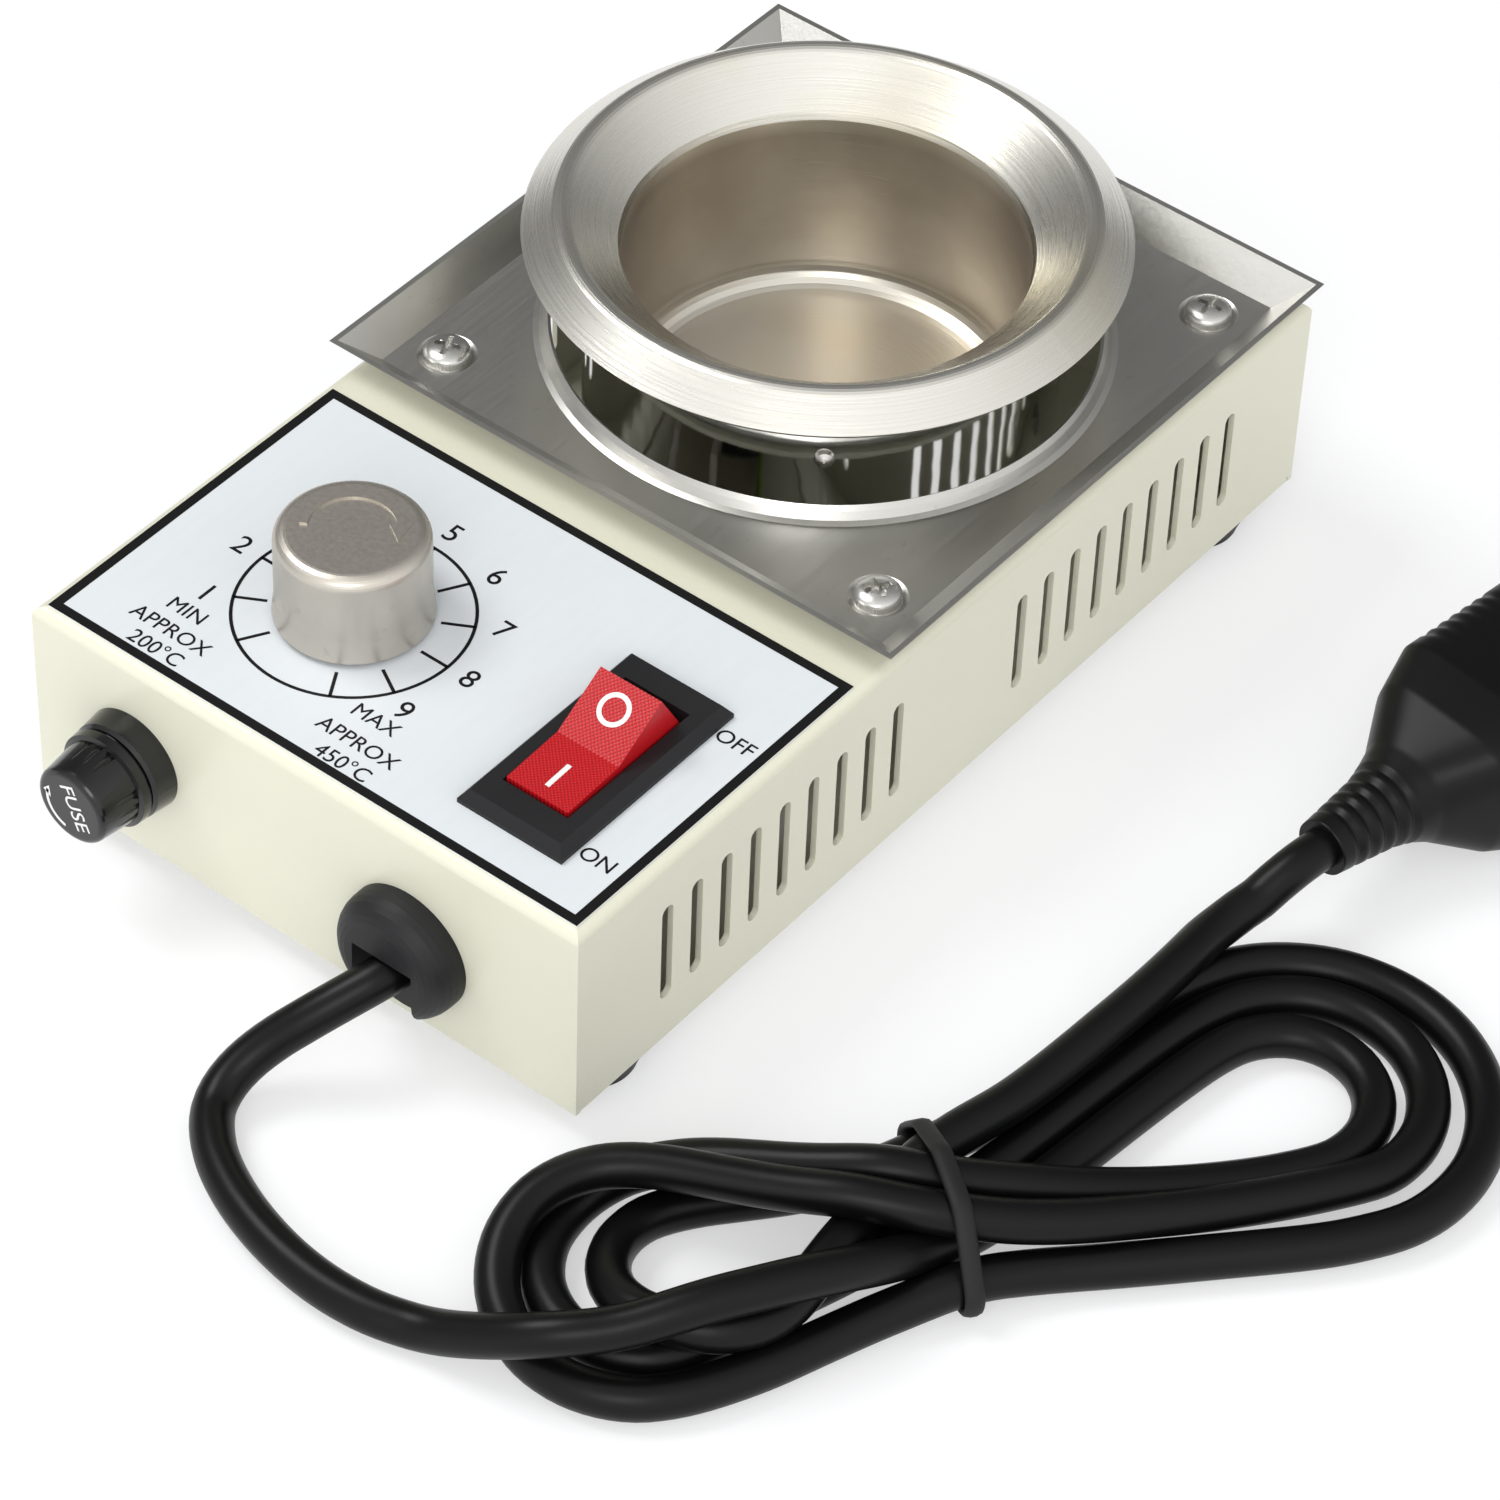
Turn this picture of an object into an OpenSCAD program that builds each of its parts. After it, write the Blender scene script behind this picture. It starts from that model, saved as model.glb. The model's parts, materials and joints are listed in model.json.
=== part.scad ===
// Small electric solder pot: a folded steel case with a drip tray and a heated crucible at the back,
// and a temperature knob, a rocker switch, a fuse and a mains lead at the front.
// Millimetres, +Z up. The case's front face looks along -Y. The origin is on the ground, under the
// middle of the object's box without its lead. Module sizes along Y are counted from the front face.

/* [Case] */
// Width of the case
body_w = 82; // [78:1:100]
// Length of the case
body_l = 141; // [138:1:180]
// Height of the case from the underside of its base plate to its top
body_h = 28.8; // [27:0.1:40]
// Thickness of the steel sheet of the cover and the base plate
sheet_t = 0.8; // [0.6:0.1:1.2]
// Outside radius of the cover's folds
fold_r = 1.4; // [1.3:0.1:2.5]
// Width of the lips folded in under the long sides
lip_w = 11; // [11:0.5:14]

/* [Vents] */
// Number of slots in each group
vent_n = 9; // [5:1:9]
// Distance from slot to slot
vent_pitch = 5.3; // [4.5:0.1:5.5]
// Width of a slot
vent_w = 2; // [1:0.1:2.6]
// Height of a slot
vent_h = 14.8; // [8:0.1:16]
// Height of the slots' lower ends above the base
vent_z = 6.8; // [4:0.1:9]
// First slot of the front group, from the front face
vent_y1 = 15.8; // [12:0.1:18]
// First slot of the rear group, from the front face
vent_y2 = 82.2; // [75:0.1:84]

/* [Feet] */
// Height of the rubber feet
foot_h = 4; // [3.8:0.1:8]
// Radius of a foot where it meets the base
foot_r = 6.6; // [6:0.1:8]
// Distance of a foot's centre from the long side
foot_in_x = 6.8; // [6.8:0.1:8]
// Distance of a foot's centre from the end
foot_in_y = 11; // [9:0.1:14]

/* [Panel] */
// Depth of the panel label from front to back
label_l = 49.5; // [44:0.5:52]
// Thickness of the panel label
label_t = 0.2; // [0.2:0.1:0.5]
// Bare margin of the cover round the label's front and sides
label_in = 1.4; // [1.4:0.1:3]

/* [Knob] */
// Place of the knob to the side of the middle
knob_x = -12; // [-16:0.5:-10]
// Place of the knob from the front face
knob_y = 23.3; // [20:0.1:27]
// Radius of the knob's metal cap
knob_r = 9.2; // [8.5:0.1:10]
// Height of the knob's top above the cover
knob_h = 13.2; // [11:0.1:16]
// Thickness of the knob's metal cap
cap_t = 0.6; // [0.4:0.1:0.8]
// Radius of the control's shaft
shaft_r = 3; // [2.5:0.1:3.2]
// Radius of the control's threaded neck
neck_r = 3.8; // [3.6:0.1:4.2]
// Radius of the control's round housing
control_r = 8.5; // [7.5:0.1:9]
// Height of the control's housing under the cover
control_h = 11; // [9:0.1:12]

/* [Rocker switch] */
// Place of the switch to the side of the middle
switch_x = 24.7; // [23:0.1:26]
// Place of the switch from the front face
switch_y = 22.8; // [21:0.1:26]
// Width of the switch's rim
switch_w = 15.2; // [14:0.1:16]
// Length of the switch's rim
switch_l = 30.6; // [29:0.1:32]
// Height of the switch's rim above the label
switch_rim = 2; // [1.5:0.1:2.5]
// Depth of the switch's housing under the cover
switch_d = 16; // [15:0.1:18]
// Width of the rocker
rocker_w = 8.9; // [8:0.1:9.6]
// Half of the rocker's travel, in degrees
rocker_a = 17; // [12:1:17]

/* [Fuse holder] */
// Place of the fuse holder to the side of the middle
fuse_x = -25.7; // [-27:0.1:-25]
// Height of the fuse holder's axis above the base
fuse_z = 14.2; // [13:0.1:16]
// Radius of the holder's flange
fuse_flange_r = 6.8; // [6.7:0.1:8]
// Thickness of the holder's flange
fuse_flange_t = 3.4; // [2.5:0.1:4]
// How far the fuse cap stands out of the front face
fuse_out = 10.8; // [9:0.1:14]
// Radius of the fuse cap at its face
fuse_cap_r = 5.2; // [5:0.1:5.4]
// Length of the holder's barrel behind the front face
fuse_barrel = 28; // [26:0.5:32]
// Radius of the holder's barrel
fuse_barrel_r = 5.8; // [5.6:0.1:6]
// Diameter of the fuse link
fuse_d = 5.2; // [5.1:0.1:5.3]
// Length of the fuse link
fuse_l = 20; // [18:0.5:20]

/* [Lead] */
// Diameter of the mains lead
cord_d = 5.2; // [4.8:0.1:6]
// Place of the strain relief to the side of the middle
relief_x = 16.4; // [14:0.1:18]
// Height of the strain relief's axis above the base
relief_z = 11.3; // [10.4:0.1:12]
// Radius of the strain relief's head
relief_r = 8.4; // [8.2:0.1:9.4]
// How far the strain relief's head stands out of the front face
relief_out = 4.9; // [4:0.1:7]
// Height of the folded and tied hank of lead
hank_h = 10.6; // [10:0.1:14]

/* [Drip tray] */
// Width of the tray between its folds
tray_w = 76.5; // [74:0.5:90]
// Length of the tray between its folds
tray_l = 78.2; // [76:0.1:90]
// Place of the tray's front fold from the front face
tray_y = 58; // [56:0.5:60]
// Thickness of the tray's sheet
tray_t = 0.5; // [0.4:0.1:0.8]
// How far the tray's borders lean out
tray_out = 4.3; // [3:0.1:6]
// How far the tray's borders rise
tray_up = 3.9; // [3:0.1:6]
// Depth of the pressed seats round the tray's screws
seat_d = 0.4; // [0.2:0.1:0.8]
// Distance between the tray's screws across the case
screw_dx = 65.7; // [62:0.1:68]
// Distance between the tray's screws along the case
screw_dy = 66.1; // [62:0.1:68]
// Radius of the hole in the tray
hole_r = 33.8; // [32:0.1:35]
// Rise of the collar round the tray's hole
collar_h = 1.8; // [1:0.1:3]
// Place of the tray's hole to the side of the middle
hole_x = -1; // [-2:0.1:1]
// Place of the tray's hole from the front face
hole_y = 97.5; // [96:0.1:99]

/* [Crucible] */
// Inside radius of the crucible
pot_r = 24.8; // [20:0.1:25.5]
// Inside depth of the crucible from its throat
pot_d = 26.2; // [20:0.1:28]
// Height of the crucible's throat above the cover
throat_h = 13.2; // [10:0.1:16]
// Thickness of the crucible's wall
pot_t = 1; // [0.8:0.1:1.4]
// Radius of the crest of the crucible's rim
crest_r = 32.1; // [30.5:0.1:33]
// Height of the crest above the throat
crest_h = 5.4; // [4:0.1:7]
// Outside radius of the crucible's rim
rim_r = 36.9; // [35:0.1:39]
// Drop of the rim from its crest to its outer edge
rim_drop = 3.4; // [2:0.1:5]
// How far the pot stands to the side of the middle of the tray's hole
pot_shift_x = -0.9; // [-1:0.1:1]
// How far the pot stands behind the middle of the tray's hole
pot_shift_y = 0.7; // [-1:0.1:1]
// Outside radius of the polished heat shield
shield_r = 29.3; // [29:0.1:30]
// Thickness of the heat shield's sheet
shield_t = 0.5; // [0.4:0.1:0.6]
// Thickness of the heater band
band_t = 2.2; // [1.6:0.1:2.2]
// Height of the heater band
band_h = 20; // [16:0.5:20]

/* [Plug] */
// Length of the plug's moulded grip without its tail
plug_l = 30; // [28:1:36]
// Width of the plug across its pins
plug_w = 25; // [24:0.5:28]
// Thickness of the plug
plug_t = 20.8; // [20:0.1:24]

/* [Hidden] */

$fn = 64;
e = 0.01;             // overlap that keeps joined volumes whole
slack = 0.1;          // clearance all round a piece in its hole
run = 0.05;           // radial running clearance of a turning or sliding piece
gap = 0.3;            // free gap beside a moving piece

front_y = -(body_l - fuse_out) / 2;
base_z = foot_h;
plate_z = base_z + sheet_t;
top_z = base_z + body_h;
under_z = top_z - sheet_t;
face_z = top_z + label_t;

m3_r = 1.5;           // M3 thread
m3_nut = 5.5;         // M3 nut across its flats
m3_nut_h = 2.4;
head_r = 2.9;         // pan head
head_h = 2;

foot_x = body_w / 2 - foot_in_x;
foot_recess = 2.2;    // depth of the screw's recess in a foot
foot_taper = 1.1;     // a foot is this much smaller at the ground

relief_hole_r = 6.4;
fuse_bore_r = 4.5;    // bore of the fuse holder's barrel
fuse_axis_z = base_z + fuse_z;
relief_axis_z = base_z + relief_z;
cord_z = relief_axis_z - 1.6;

tray_z = top_z + seat_d;
screw_seat_z = top_z + tray_t;
screw_y = tray_y + (tray_l - screw_dy) / 2;
seat_r = 4.1;         // outer radius of a pressed seat
flange_lean = tray_out / tray_up;

pot_x = hole_x + pot_shift_x;
pot_y = hole_y + pot_shift_y;
throat_z = top_z + throat_h;
pot_floor_z = throat_z - pot_d;
pot_under_z = pot_floor_z - pot_t;
shield_top_z = throat_z + 1.4;
spacer_h = 4.2;
shield_z = plate_z + spacer_h;
stud_r = 2;           // M4 stud under the crucible
stud_end_z = 0.8;
pot_nut_h = 3.2;
band_z = throat_z - 3 - band_h;

board_w = 34;
board_l = 38;
board_t = 1.6;
board_x = -18;
board_y = 11;
board_z = under_z - control_h - board_t;

pin_r = 1.2;          // the rocker's pivot pins
pivot_z = face_z - 2.4;
pocket_l = 21.6;      // opening of the switch's rim
pocket_w = rocker_w + 2 * gap;
housing_w = 12.9;
housing_l = 27.2;
terminal_z = under_z - switch_d + sheet_t - 8;
tag_y = fuse_barrel + 6;

// ---- helpers ----
function unit(v) = v / norm(v);
// points along an arc round c, from angle a0 to a1
function arc(c, r, a0, a1, n = 8) = [for (i = [0:n]) let (a = a0 + (a1 - a0) * i / n) c + r * [cos(a), sin(a)]];
// direction of a path at point i
function heading(p, i) = unit(p[min(i + 1, len(p) - 1)] - p[max(i - 1, 0)]);
// outline of a sheet of thickness t whose one face follows path p; the other is on the path's right
function sheet_outline(p, t) = concat(p, [for (i = [len(p) - 1:-1:0]) let (h = heading(p, i)) p[i] + t * [h[1], -h[0]]]);

module from_front() translate([0, front_y, 0]) children();
module at_pot() translate([pot_x, front_y + pot_y, 0]) children();
module along_y() rotate([-90, 0, 0]) children();
module disc(r, z0, z1) translate([0, 0, z0]) cylinder(r = r, h = z1 - z0);
module hex_prism(flats, h) cylinder(r = flats / sqrt(3), h = h, $fn = 6);
module block(x0, x1, y0, y1, z0, z1) translate([x0, y0, z0]) cube([x1 - x0, y1 - y0, z1 - z0]);
module each_foot() for (x = [-foot_x, foot_x], y = [foot_in_y, body_l - foot_in_y]) translate([x, y, 0]) children();
module each_tray_screw() for (x = [-0.5, 0.5] * screw_dx, y = [screw_y, screw_y + screw_dy]) translate([x, y, 0]) children();

// solid with rounded long top edges along X and Y: the outside or the inside of the folded cover
module folded_block(w, l, z0, z1, r) intersection() {
  union() {
    block(-w / 2, w / 2, 0, l, z0, z1 - r);
    block(-w / 2 + r, w / 2 - r, 0, l, z0, z1);
    for (x = [-w / 2 + r, w / 2 - r]) translate([x, 0, z1 - r]) along_y() cylinder(r = r, h = l);
  }
  union() {
    block(-w / 2, w / 2, 0, l, z0, z1 - r);
    block(-w / 2, w / 2, r, l - r, z0, z1);
    for (y = [r, l - r]) translate([-w / 2, y, z1 - r]) rotate([0, 90, 0]) cylinder(r = r, h = w);
  }
}

// tube of n sides swept along the points p; ref is never along the tube
module tube(p, r, n = 8, ref = [0, 0, 1]) {
  m = len(p);
  rings = [for (i = [0:m - 1]) let (h = heading(p, i), s = unit(cross(h, ref)), u = cross(s, h))
    for (k = [0:n - 1]) p[i] + r * (cos(360 * (k + 0.5) / n) * s + sin(360 * (k + 0.5) / n) * u)];
  sides = [for (i = [0:m - 2], k = [0:n - 1], up = [0, 1]) let (a = i * n + k, b = i * n + (k + 1) % n) up ? [a, b, b + n] : [a, b + n, a + n]];
  polyhedron(rings, concat(sides, [[for (k = [n - 1:-1:0]) k], [for (k = [0:n - 1]) (m - 1) * n + k]]));
}

module pan_screw(under_head, length) {
  translate([0, 0, under_head]) rotate_extrude()
    polygon(concat([[0, 0], [head_r, 0]], arc([head_r - 1, head_h - 1], 1, 0, 70, 4), [[0, head_h]]));
  disc(m3_r - run, under_head - length, under_head + e);
}

// ---- case ----
module cover() color("beige") from_front() difference() {
  folded_block(body_w, body_l, base_z, top_z, fold_r);
  difference() {
    folded_cavity();
    for (side = [0, 1]) mirror([side, 0, 0])
      block(body_w / 2 - sheet_t - lip_w, body_w / 2, 2 * sheet_t, body_l - 2 * sheet_t, plate_z, plate_z + sheet_t);
  }
  block(-body_w, body_w, sheet_t, body_l - sheet_t, base_z - 1, plate_z);
  vent_cuts();
  each_foot() disc(m3_r + run, base_z, plate_z + 2 * sheet_t);
  each_tray_screw() disc(m3_r + slack, under_z - 1, top_z + 1);
  translate([hole_x, hole_y, 0]) disc(hole_r + 0.7, under_z - 1, top_z + 1);
  translate([knob_x, knob_y, 0]) disc(neck_r + slack, under_z - 1, top_z + 1);
  switch_cut(under_z - 1, top_z + 1);
  translate([fuse_x, -1, fuse_axis_z]) along_y() cylinder(r = fuse_barrel_r + slack, h = 3);
  translate([relief_x, -1, relief_axis_z]) along_y() cylinder(r = relief_hole_r + slack, h = 3);
}
module folded_cavity() translate([0, sheet_t, 0])
  folded_block(body_w - 2 * sheet_t, body_l - 2 * sheet_t, base_z - 1, under_z, fold_r - sheet_t);
module vent_cuts() for (y0 = [vent_y1, vent_y2], i = [0:vent_n - 1]) translate([0, y0 + i * vent_pitch, 0]) {
  low = base_z + vent_z + vent_w / 2;
  high = base_z + vent_z + vent_h - vent_w / 2;
  block(-body_w, body_w, -vent_w / 2, vent_w / 2, low, high);
  for (z = [low, high]) translate([-body_w, 0, z]) rotate([0, 90, 0]) cylinder(r = vent_w / 2, h = 2 * body_w);
}
module switch_cut(z0, z1) translate([switch_x, switch_y, 0])
  block(-housing_w / 2 - slack, housing_w / 2 + slack, -housing_l / 2 - slack, housing_l / 2 + slack, z0, z1);

module base_plate() color("beige") from_front() difference() {
  block(-body_w / 2 + slack, body_w / 2 - slack, sheet_t + slack, body_l - sheet_t - slack, base_z, plate_z);
  each_foot() disc(m3_r + run, base_z - 1, plate_z + 1);
  translate([pot_x, pot_y, 0]) disc(stud_r + slack, base_z - 1, plate_z + 1);
  earth_place() disc(m3_r + run, base_z - 1, plate_z + 1);
}

module foot(x, y) color("dimgray") from_front() translate([x * foot_x, y, 0]) difference() {
  rotate_extrude() polygon(concat([[0, 0]], arc([foot_r - foot_taper - 1, 1], 1, -90, 0, 5), [[foot_r, foot_h], [0, foot_h]]));
  disc(head_r + gap, -1, foot_recess);
  disc(m3_r + slack, 0, foot_h + 1);
}
module foot_front_left() foot(-1, foot_in_y);
module foot_front_right() foot(1, foot_in_y);
module foot_rear_left() foot(-1, body_l - foot_in_y);
module foot_rear_right() foot(1, body_l - foot_in_y);
module foot_screws() color("silver") from_front() each_foot() translate([0, 0, foot_recess]) rotate([180, 0, 0]) pan_screw(0, 6);

module panel_label() color("lightgray") from_front() difference() {
  block(-body_w / 2 + label_in, body_w / 2 - label_in, label_in, label_in + label_l, top_z, face_z);
  translate([knob_x, knob_y, 0]) disc(neck_r + slack, top_z - 1, face_z + 1);
  switch_cut(top_z - 1, face_z + 1);
}

// ---- temperature control ----
knob_low = face_z + 0.7;
knob_top = top_z + knob_h;
washer_t = 0.5;
nut_h = 2.2;
neck_top = face_z + washer_t + nut_h + 0.4;
hub_low = neck_top + 0.5;
knob_round = 1.6;     // rounding of the knob's upper edge
knob_flare = 0.3;     // the cap is this much wider at its foot
cap_path = concat([[0, knob_top]], arc([knob_r - knob_round, knob_top - knob_round], knob_round, 90, 0), [[knob_r, knob_low + 3], [knob_r + knob_flare, knob_low]]);
module at_knob() from_front() translate([knob_x, knob_y, 0]) children();
module knob_cap() color("silver") at_knob() rotate_extrude() polygon(sheet_outline(cap_path, cap_t));

module knob_core() color("dimgray") at_knob() difference() {
  rotate_extrude() polygon([
    [0, hub_low], [shaft_r + 2.2, hub_low], [shaft_r + 2.2, knob_top - cap_t - 2.6], [knob_r - cap_t - run - 1.4, knob_top - cap_t - 2.6],
    [knob_r - cap_t - run - 1.4, knob_low + 1], [knob_r - cap_t - run, knob_low + 1], [knob_r - cap_t - run, knob_top - cap_t - knob_round],
    [knob_r - cap_t - run - 1, knob_top - cap_t - run - 0.4], [knob_r - cap_t - run - 1.6, knob_top - cap_t - run], [0, knob_top - cap_t - run]]);
  difference() {
    disc(shaft_r + run, hub_low - 1, knob_top - 3);
    shaft_flat(run);
  }
}
// the half space beyond the flat of the shaft's upper end
module shaft_flat(c) block(-shaft_r - 1, shaft_r + 1, shaft_r * 0.5 + c, shaft_r + 1, hub_low, knob_top);
module control_shaft() color("silver") at_knob() difference() {
  disc(shaft_r, board_z + board_t + 2, knob_top - 3.2);
  shaft_flat(0);
}
module control() color("slategray") at_knob() difference() {
  union() {
    disc(control_r, board_z + board_t, under_z);
    disc(neck_r, under_z - e, neck_top);
  }
  disc(shaft_r + run, board_z + board_t + 1.8, neck_top + 1);
}
module control_washer() color("silver") at_knob() difference() {
  disc(6.4, face_z, face_z + washer_t);
  disc(neck_r + slack, face_z - 1, face_z + 1);
}
module control_nut() color("silver") at_knob() difference() {
  translate([0, 0, face_z + washer_t]) hex_prism(10, nut_h);
  disc(neck_r + run, face_z, face_z + 4);
}
module circuit_board() color("peru") from_front() block(board_x, board_x + board_w, board_y, board_y + board_l, board_z, board_z + board_t);
module triac() color("dimgray") from_front() translate([2, 38, board_z + board_t]) {
  block(0, 10, 0, 9, 0, 4.4);
  difference() {
    block(0, 10, 9 - e, 15.6, 0, 1.3);
    translate([5, 12.8, 0]) disc(1.8, -1, 2);
  }
}
module filter_capacitor() color("gold") from_front() translate([2, 15, board_z + board_t]) block(0, 6, 0, 13, 0, 9);

// ---- rocker switch ----
module at_switch() from_front() translate([switch_x, switch_y, 0]) children();
module switch_housing() color("black") at_switch() difference() {
  union() {
    block(-housing_w / 2, housing_w / 2, -housing_l / 2, housing_l / 2, under_z - switch_d + sheet_t, face_z + e);
    switch_rim_solid();
  }
  block(-pocket_w / 2, pocket_w / 2, -pocket_l / 2, pocket_l / 2, pivot_z - 7, face_z + switch_rim + 1);
  translate([-housing_w, 0, pivot_z]) rotate([0, 90, 0]) cylinder(r = pin_r + run, h = 2 * housing_w);
}
// rim with sloping sides: a frame cut by slanting planes
module switch_rim_solid() intersection() {
  block(-switch_w / 2, switch_w / 2, -switch_l / 2, switch_l / 2, face_z, face_z + switch_rim);
  rotate([90, 0, 0]) linear_extrude(switch_l + 2, center = true) rim_section(switch_w / 2);
  rotate([90, 0, 90]) linear_extrude(switch_w + 2, center = true) rim_section(switch_l / 2);
}
module rim_section(half) polygon([[-half, face_z - 1], [half, face_z - 1], [half, face_z + 0.6],
  [half - 1, face_z + switch_rim], [1 - half, face_z + switch_rim], [-half, face_z + 0.6]]);

// two level ends that slope to the middle; the front end is pressed
module rocker() color("red") at_switch() translate([0, 0, pivot_z]) rotate([rocker_a, 0, 0]) {
  rotate([90, 0, 90]) linear_extrude(rocker_w, center = true) polygon([[-9.8, -3], [9.8, -3], [10.1, 1], [rocker_end, rocker_rise],
    [0, rocker_rise - rocker_dip], [-rocker_end, rocker_rise], [-10.1, 1]]);
  translate([-housing_w / 2, 0, 0]) rotate([0, 90, 0]) cylinder(r = pin_r, h = housing_w);
}
rocker_end = 8.6;     // the rocker's upper edges from its middle
rocker_rise = 7.6;    // and above its pivot
rocker_dip = 2.2;
module switch_terminals() color("gold") at_switch() for (y = [-8, 0, 8])
  block(-3.15, 3.15, y - 0.4, y + 0.4, terminal_z, under_z - switch_d + sheet_t);

// ---- fuse holder ----
module at_fuse() from_front() translate([fuse_x, 0, fuse_axis_z]) along_y() children();
module fuse_holder() color("black") at_fuse() difference() {
  union() {
    rotate_extrude() polygon([[0, -fuse_flange_t], [fuse_flange_r - 0.7, -fuse_flange_t], [fuse_flange_r - 0.3, -fuse_flange_t + 0.4],
      [fuse_flange_r, 0], [0, 0]]);
    disc(fuse_barrel_r, -e, fuse_barrel);
  }
  disc(fuse_bore_r, -fuse_flange_t - 1, fuse_l + 2.2);
}
module fuse_holder_nut() color("black") at_fuse() difference() {
  translate([0, 0, sheet_t]) hex_prism(15, 3.5);
  disc(fuse_barrel_r + run, 0, 6);
}
module fuse_tags() color("gold") at_fuse() {
  block(-2, 2, -0.3, 0.3, fuse_barrel, tag_y);
  block(-2, 2, fuse_barrel_r, fuse_barrel_r + 0.6, 14, 24);
}
// ribbed grip whose sleeve holds the fuse by its front end
module fuse_cap() color("black") at_fuse() difference() {
  union() {
    difference() {
      rotate_extrude() polygon(concat([[0, cap_z], [fuse_cap_r + 1, cap_z], [fuse_cap_r + 1.2, cap_z - 0.3], [fuse_cap_r + 1.1, cap_z - 1.4],
        [fuse_cap_r + 0.5, cap_z - 1.6]], arc([fuse_cap_r - 0.8, 0.8 - fuse_out], 0.8, 0, -90, 4), [[0, -fuse_out]]));
      for (i = [0:rib_n - 1]) rotate(360 * i / rib_n) translate([fuse_cap_r + 0.6, 0, 0]) disc(0.45, -fuse_out + 1.4, cap_z - 1.6);
    }
    disc(fuse_bore_r - run, cap_z - e, 4);
  }
  disc(fuse_d / 2 + run, fuse_start - 0.1, 5);
}
cap_z = -fuse_flange_t - gap;
rib_n = 20;
fuse_start = -1.6;
ferrule_l = 5.5;
module fuse_glass() color("lightblue") at_fuse() difference() {
  disc(fuse_d / 2 - 0.3, fuse_start + 0.5, fuse_start + fuse_l - 0.5);
  disc(fuse_d / 2 - 0.9, fuse_start, fuse_start + fuse_l);
}
module fuse_ferrules() color("silver") at_fuse() for (z = [fuse_start, fuse_start + fuse_l - ferrule_l]) difference() {
  disc(fuse_d / 2, z, z + ferrule_l);
  disc(fuse_d / 2 - 0.3 + e, max(z, fuse_start + 0.5), min(z + ferrule_l, fuse_start + fuse_l - 0.5));
}

// ---- strain relief ----
module strain_relief() color("black") from_front() translate([relief_x, 0, relief_axis_z]) difference() {
  along_y() union() {
    rotate_extrude() polygon(concat([[0, 0], [relief_r, 0]], [for (a = [0:15:90]) [relief_r - 2.8 + 2.8 * cos(a), -relief_out + 3.6 - 3.6 * sin(a)]], [[0, -relief_out]]));
    disc(relief_hole_r, -e, sheet_t + 6);
    disc(relief_hole_r + 0.7, sheet_t + slack, sheet_t + 2);
  }
  translate([0, -relief_out - 1, cord_z - relief_axis_z]) along_y() cylinder(r = cord_d / 2 + run, h = 20);
  block(-4.4, 4.4, -relief_out - 1, -relief_out + 3.4, -relief_r - 1, 1.4);
}

// ---- drip tray ----
module tray_layer(grow, z) translate([-tray_w / 2 - grow, tray_y - grow, z]) cube([tray_w + 2 * grow, tray_l + 2 * grow, e]);
module tray() color("silver") from_front() {
  difference() {
    hull() {
      tray_layer(0, tray_z);
      tray_layer(tray_out, tray_z + tray_up - e);
    }
    hull() {
      tray_layer(flange_lean * tray_t - flange_wall, tray_z + tray_t);
      tray_layer(tray_out + flange_lean - flange_wall, tray_z + tray_up + 1 - e);
    }
    translate([hole_x, hole_y, 0]) disc(hole_r + 1.8, tray_z - 1, tray_z + 2);
    each_tray_screw() disc(seat_r - e, tray_z - 1, tray_z + 2);
  }
  translate([hole_x, hole_y, 0]) rotate_extrude() polygon(collar_section);
  each_tray_screw() rotate_extrude() polygon(seat_section);
}
flange_wall = tray_t * sqrt(1 + flange_lean * flange_lean);  // the border's sheet, measured level
collar_section = sheet_outline([[hole_r, tray_z + tray_t + collar_h], [hole_r + 0.5, tray_z + tray_t + collar_h - 0.6], [hole_r + 1.1, tray_z + tray_t + 0.3],
  [hole_r + 1.8, tray_z + tray_t], [hole_r + 2, tray_z + tray_t]], tray_t);
seat_section = [[m3_r + slack, top_z], [seat_r - 0.9, top_z], [seat_r - 0.2, tray_z], [seat_r, tray_z], [seat_r, tray_z + tray_t],
  [seat_r - 0.4, tray_z + tray_t], [seat_r - 1.1, top_z + tray_t], [m3_r + slack, top_z + tray_t]];
module tray_screws() color("silver") from_front() each_tray_screw() pan_screw(screw_seat_z, 6);
module tray_nuts() color("silver") from_front() each_tray_screw() difference() {
  translate([0, 0, under_z - m3_nut_h]) hex_prism(m3_nut, m3_nut_h);
  disc(m3_r, under_z - m3_nut_h - 1, under_z + 1);
}

// ---- crucible and heater ----
pot_fillet = 3;       // rounding between the crucible's wall and its floor
crest_bend = 1.8;     // bend radius of the rim's crest
pot_path = concat([[0, pot_floor_z]], arc([pot_r - pot_fillet, pot_floor_z + pot_fillet], pot_fillet, -90, 0, 6),
  [[pot_r, throat_z - 0.8], [pot_r + 0.4, throat_z + 0.1]],
  arc([crest_r, throat_z + crest_h - crest_bend], crest_bend, 130, 55, 6), [[rim_r, throat_z + crest_h - rim_drop]]);
module crucible() color("silver") at_pot() rotate_extrude() polygon(sheet_outline(pot_path, pot_t));
module heater_band() color("tan") at_pot() difference() {
  disc(pot_r + pot_t + slack + band_t, band_z, band_z + band_h);
  disc(pot_r + pot_t + slack, band_z - 1, band_z + band_h + 1);
}
insulation_r = 26;
module pot_insulation() color("white") at_pot() difference() {
  disc(insulation_r, shield_z + shield_t, pot_under_z);
  disc(stud_r + slack, shield_z, pot_under_z + 1);
}
lead_hole_r = 1.6;
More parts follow.
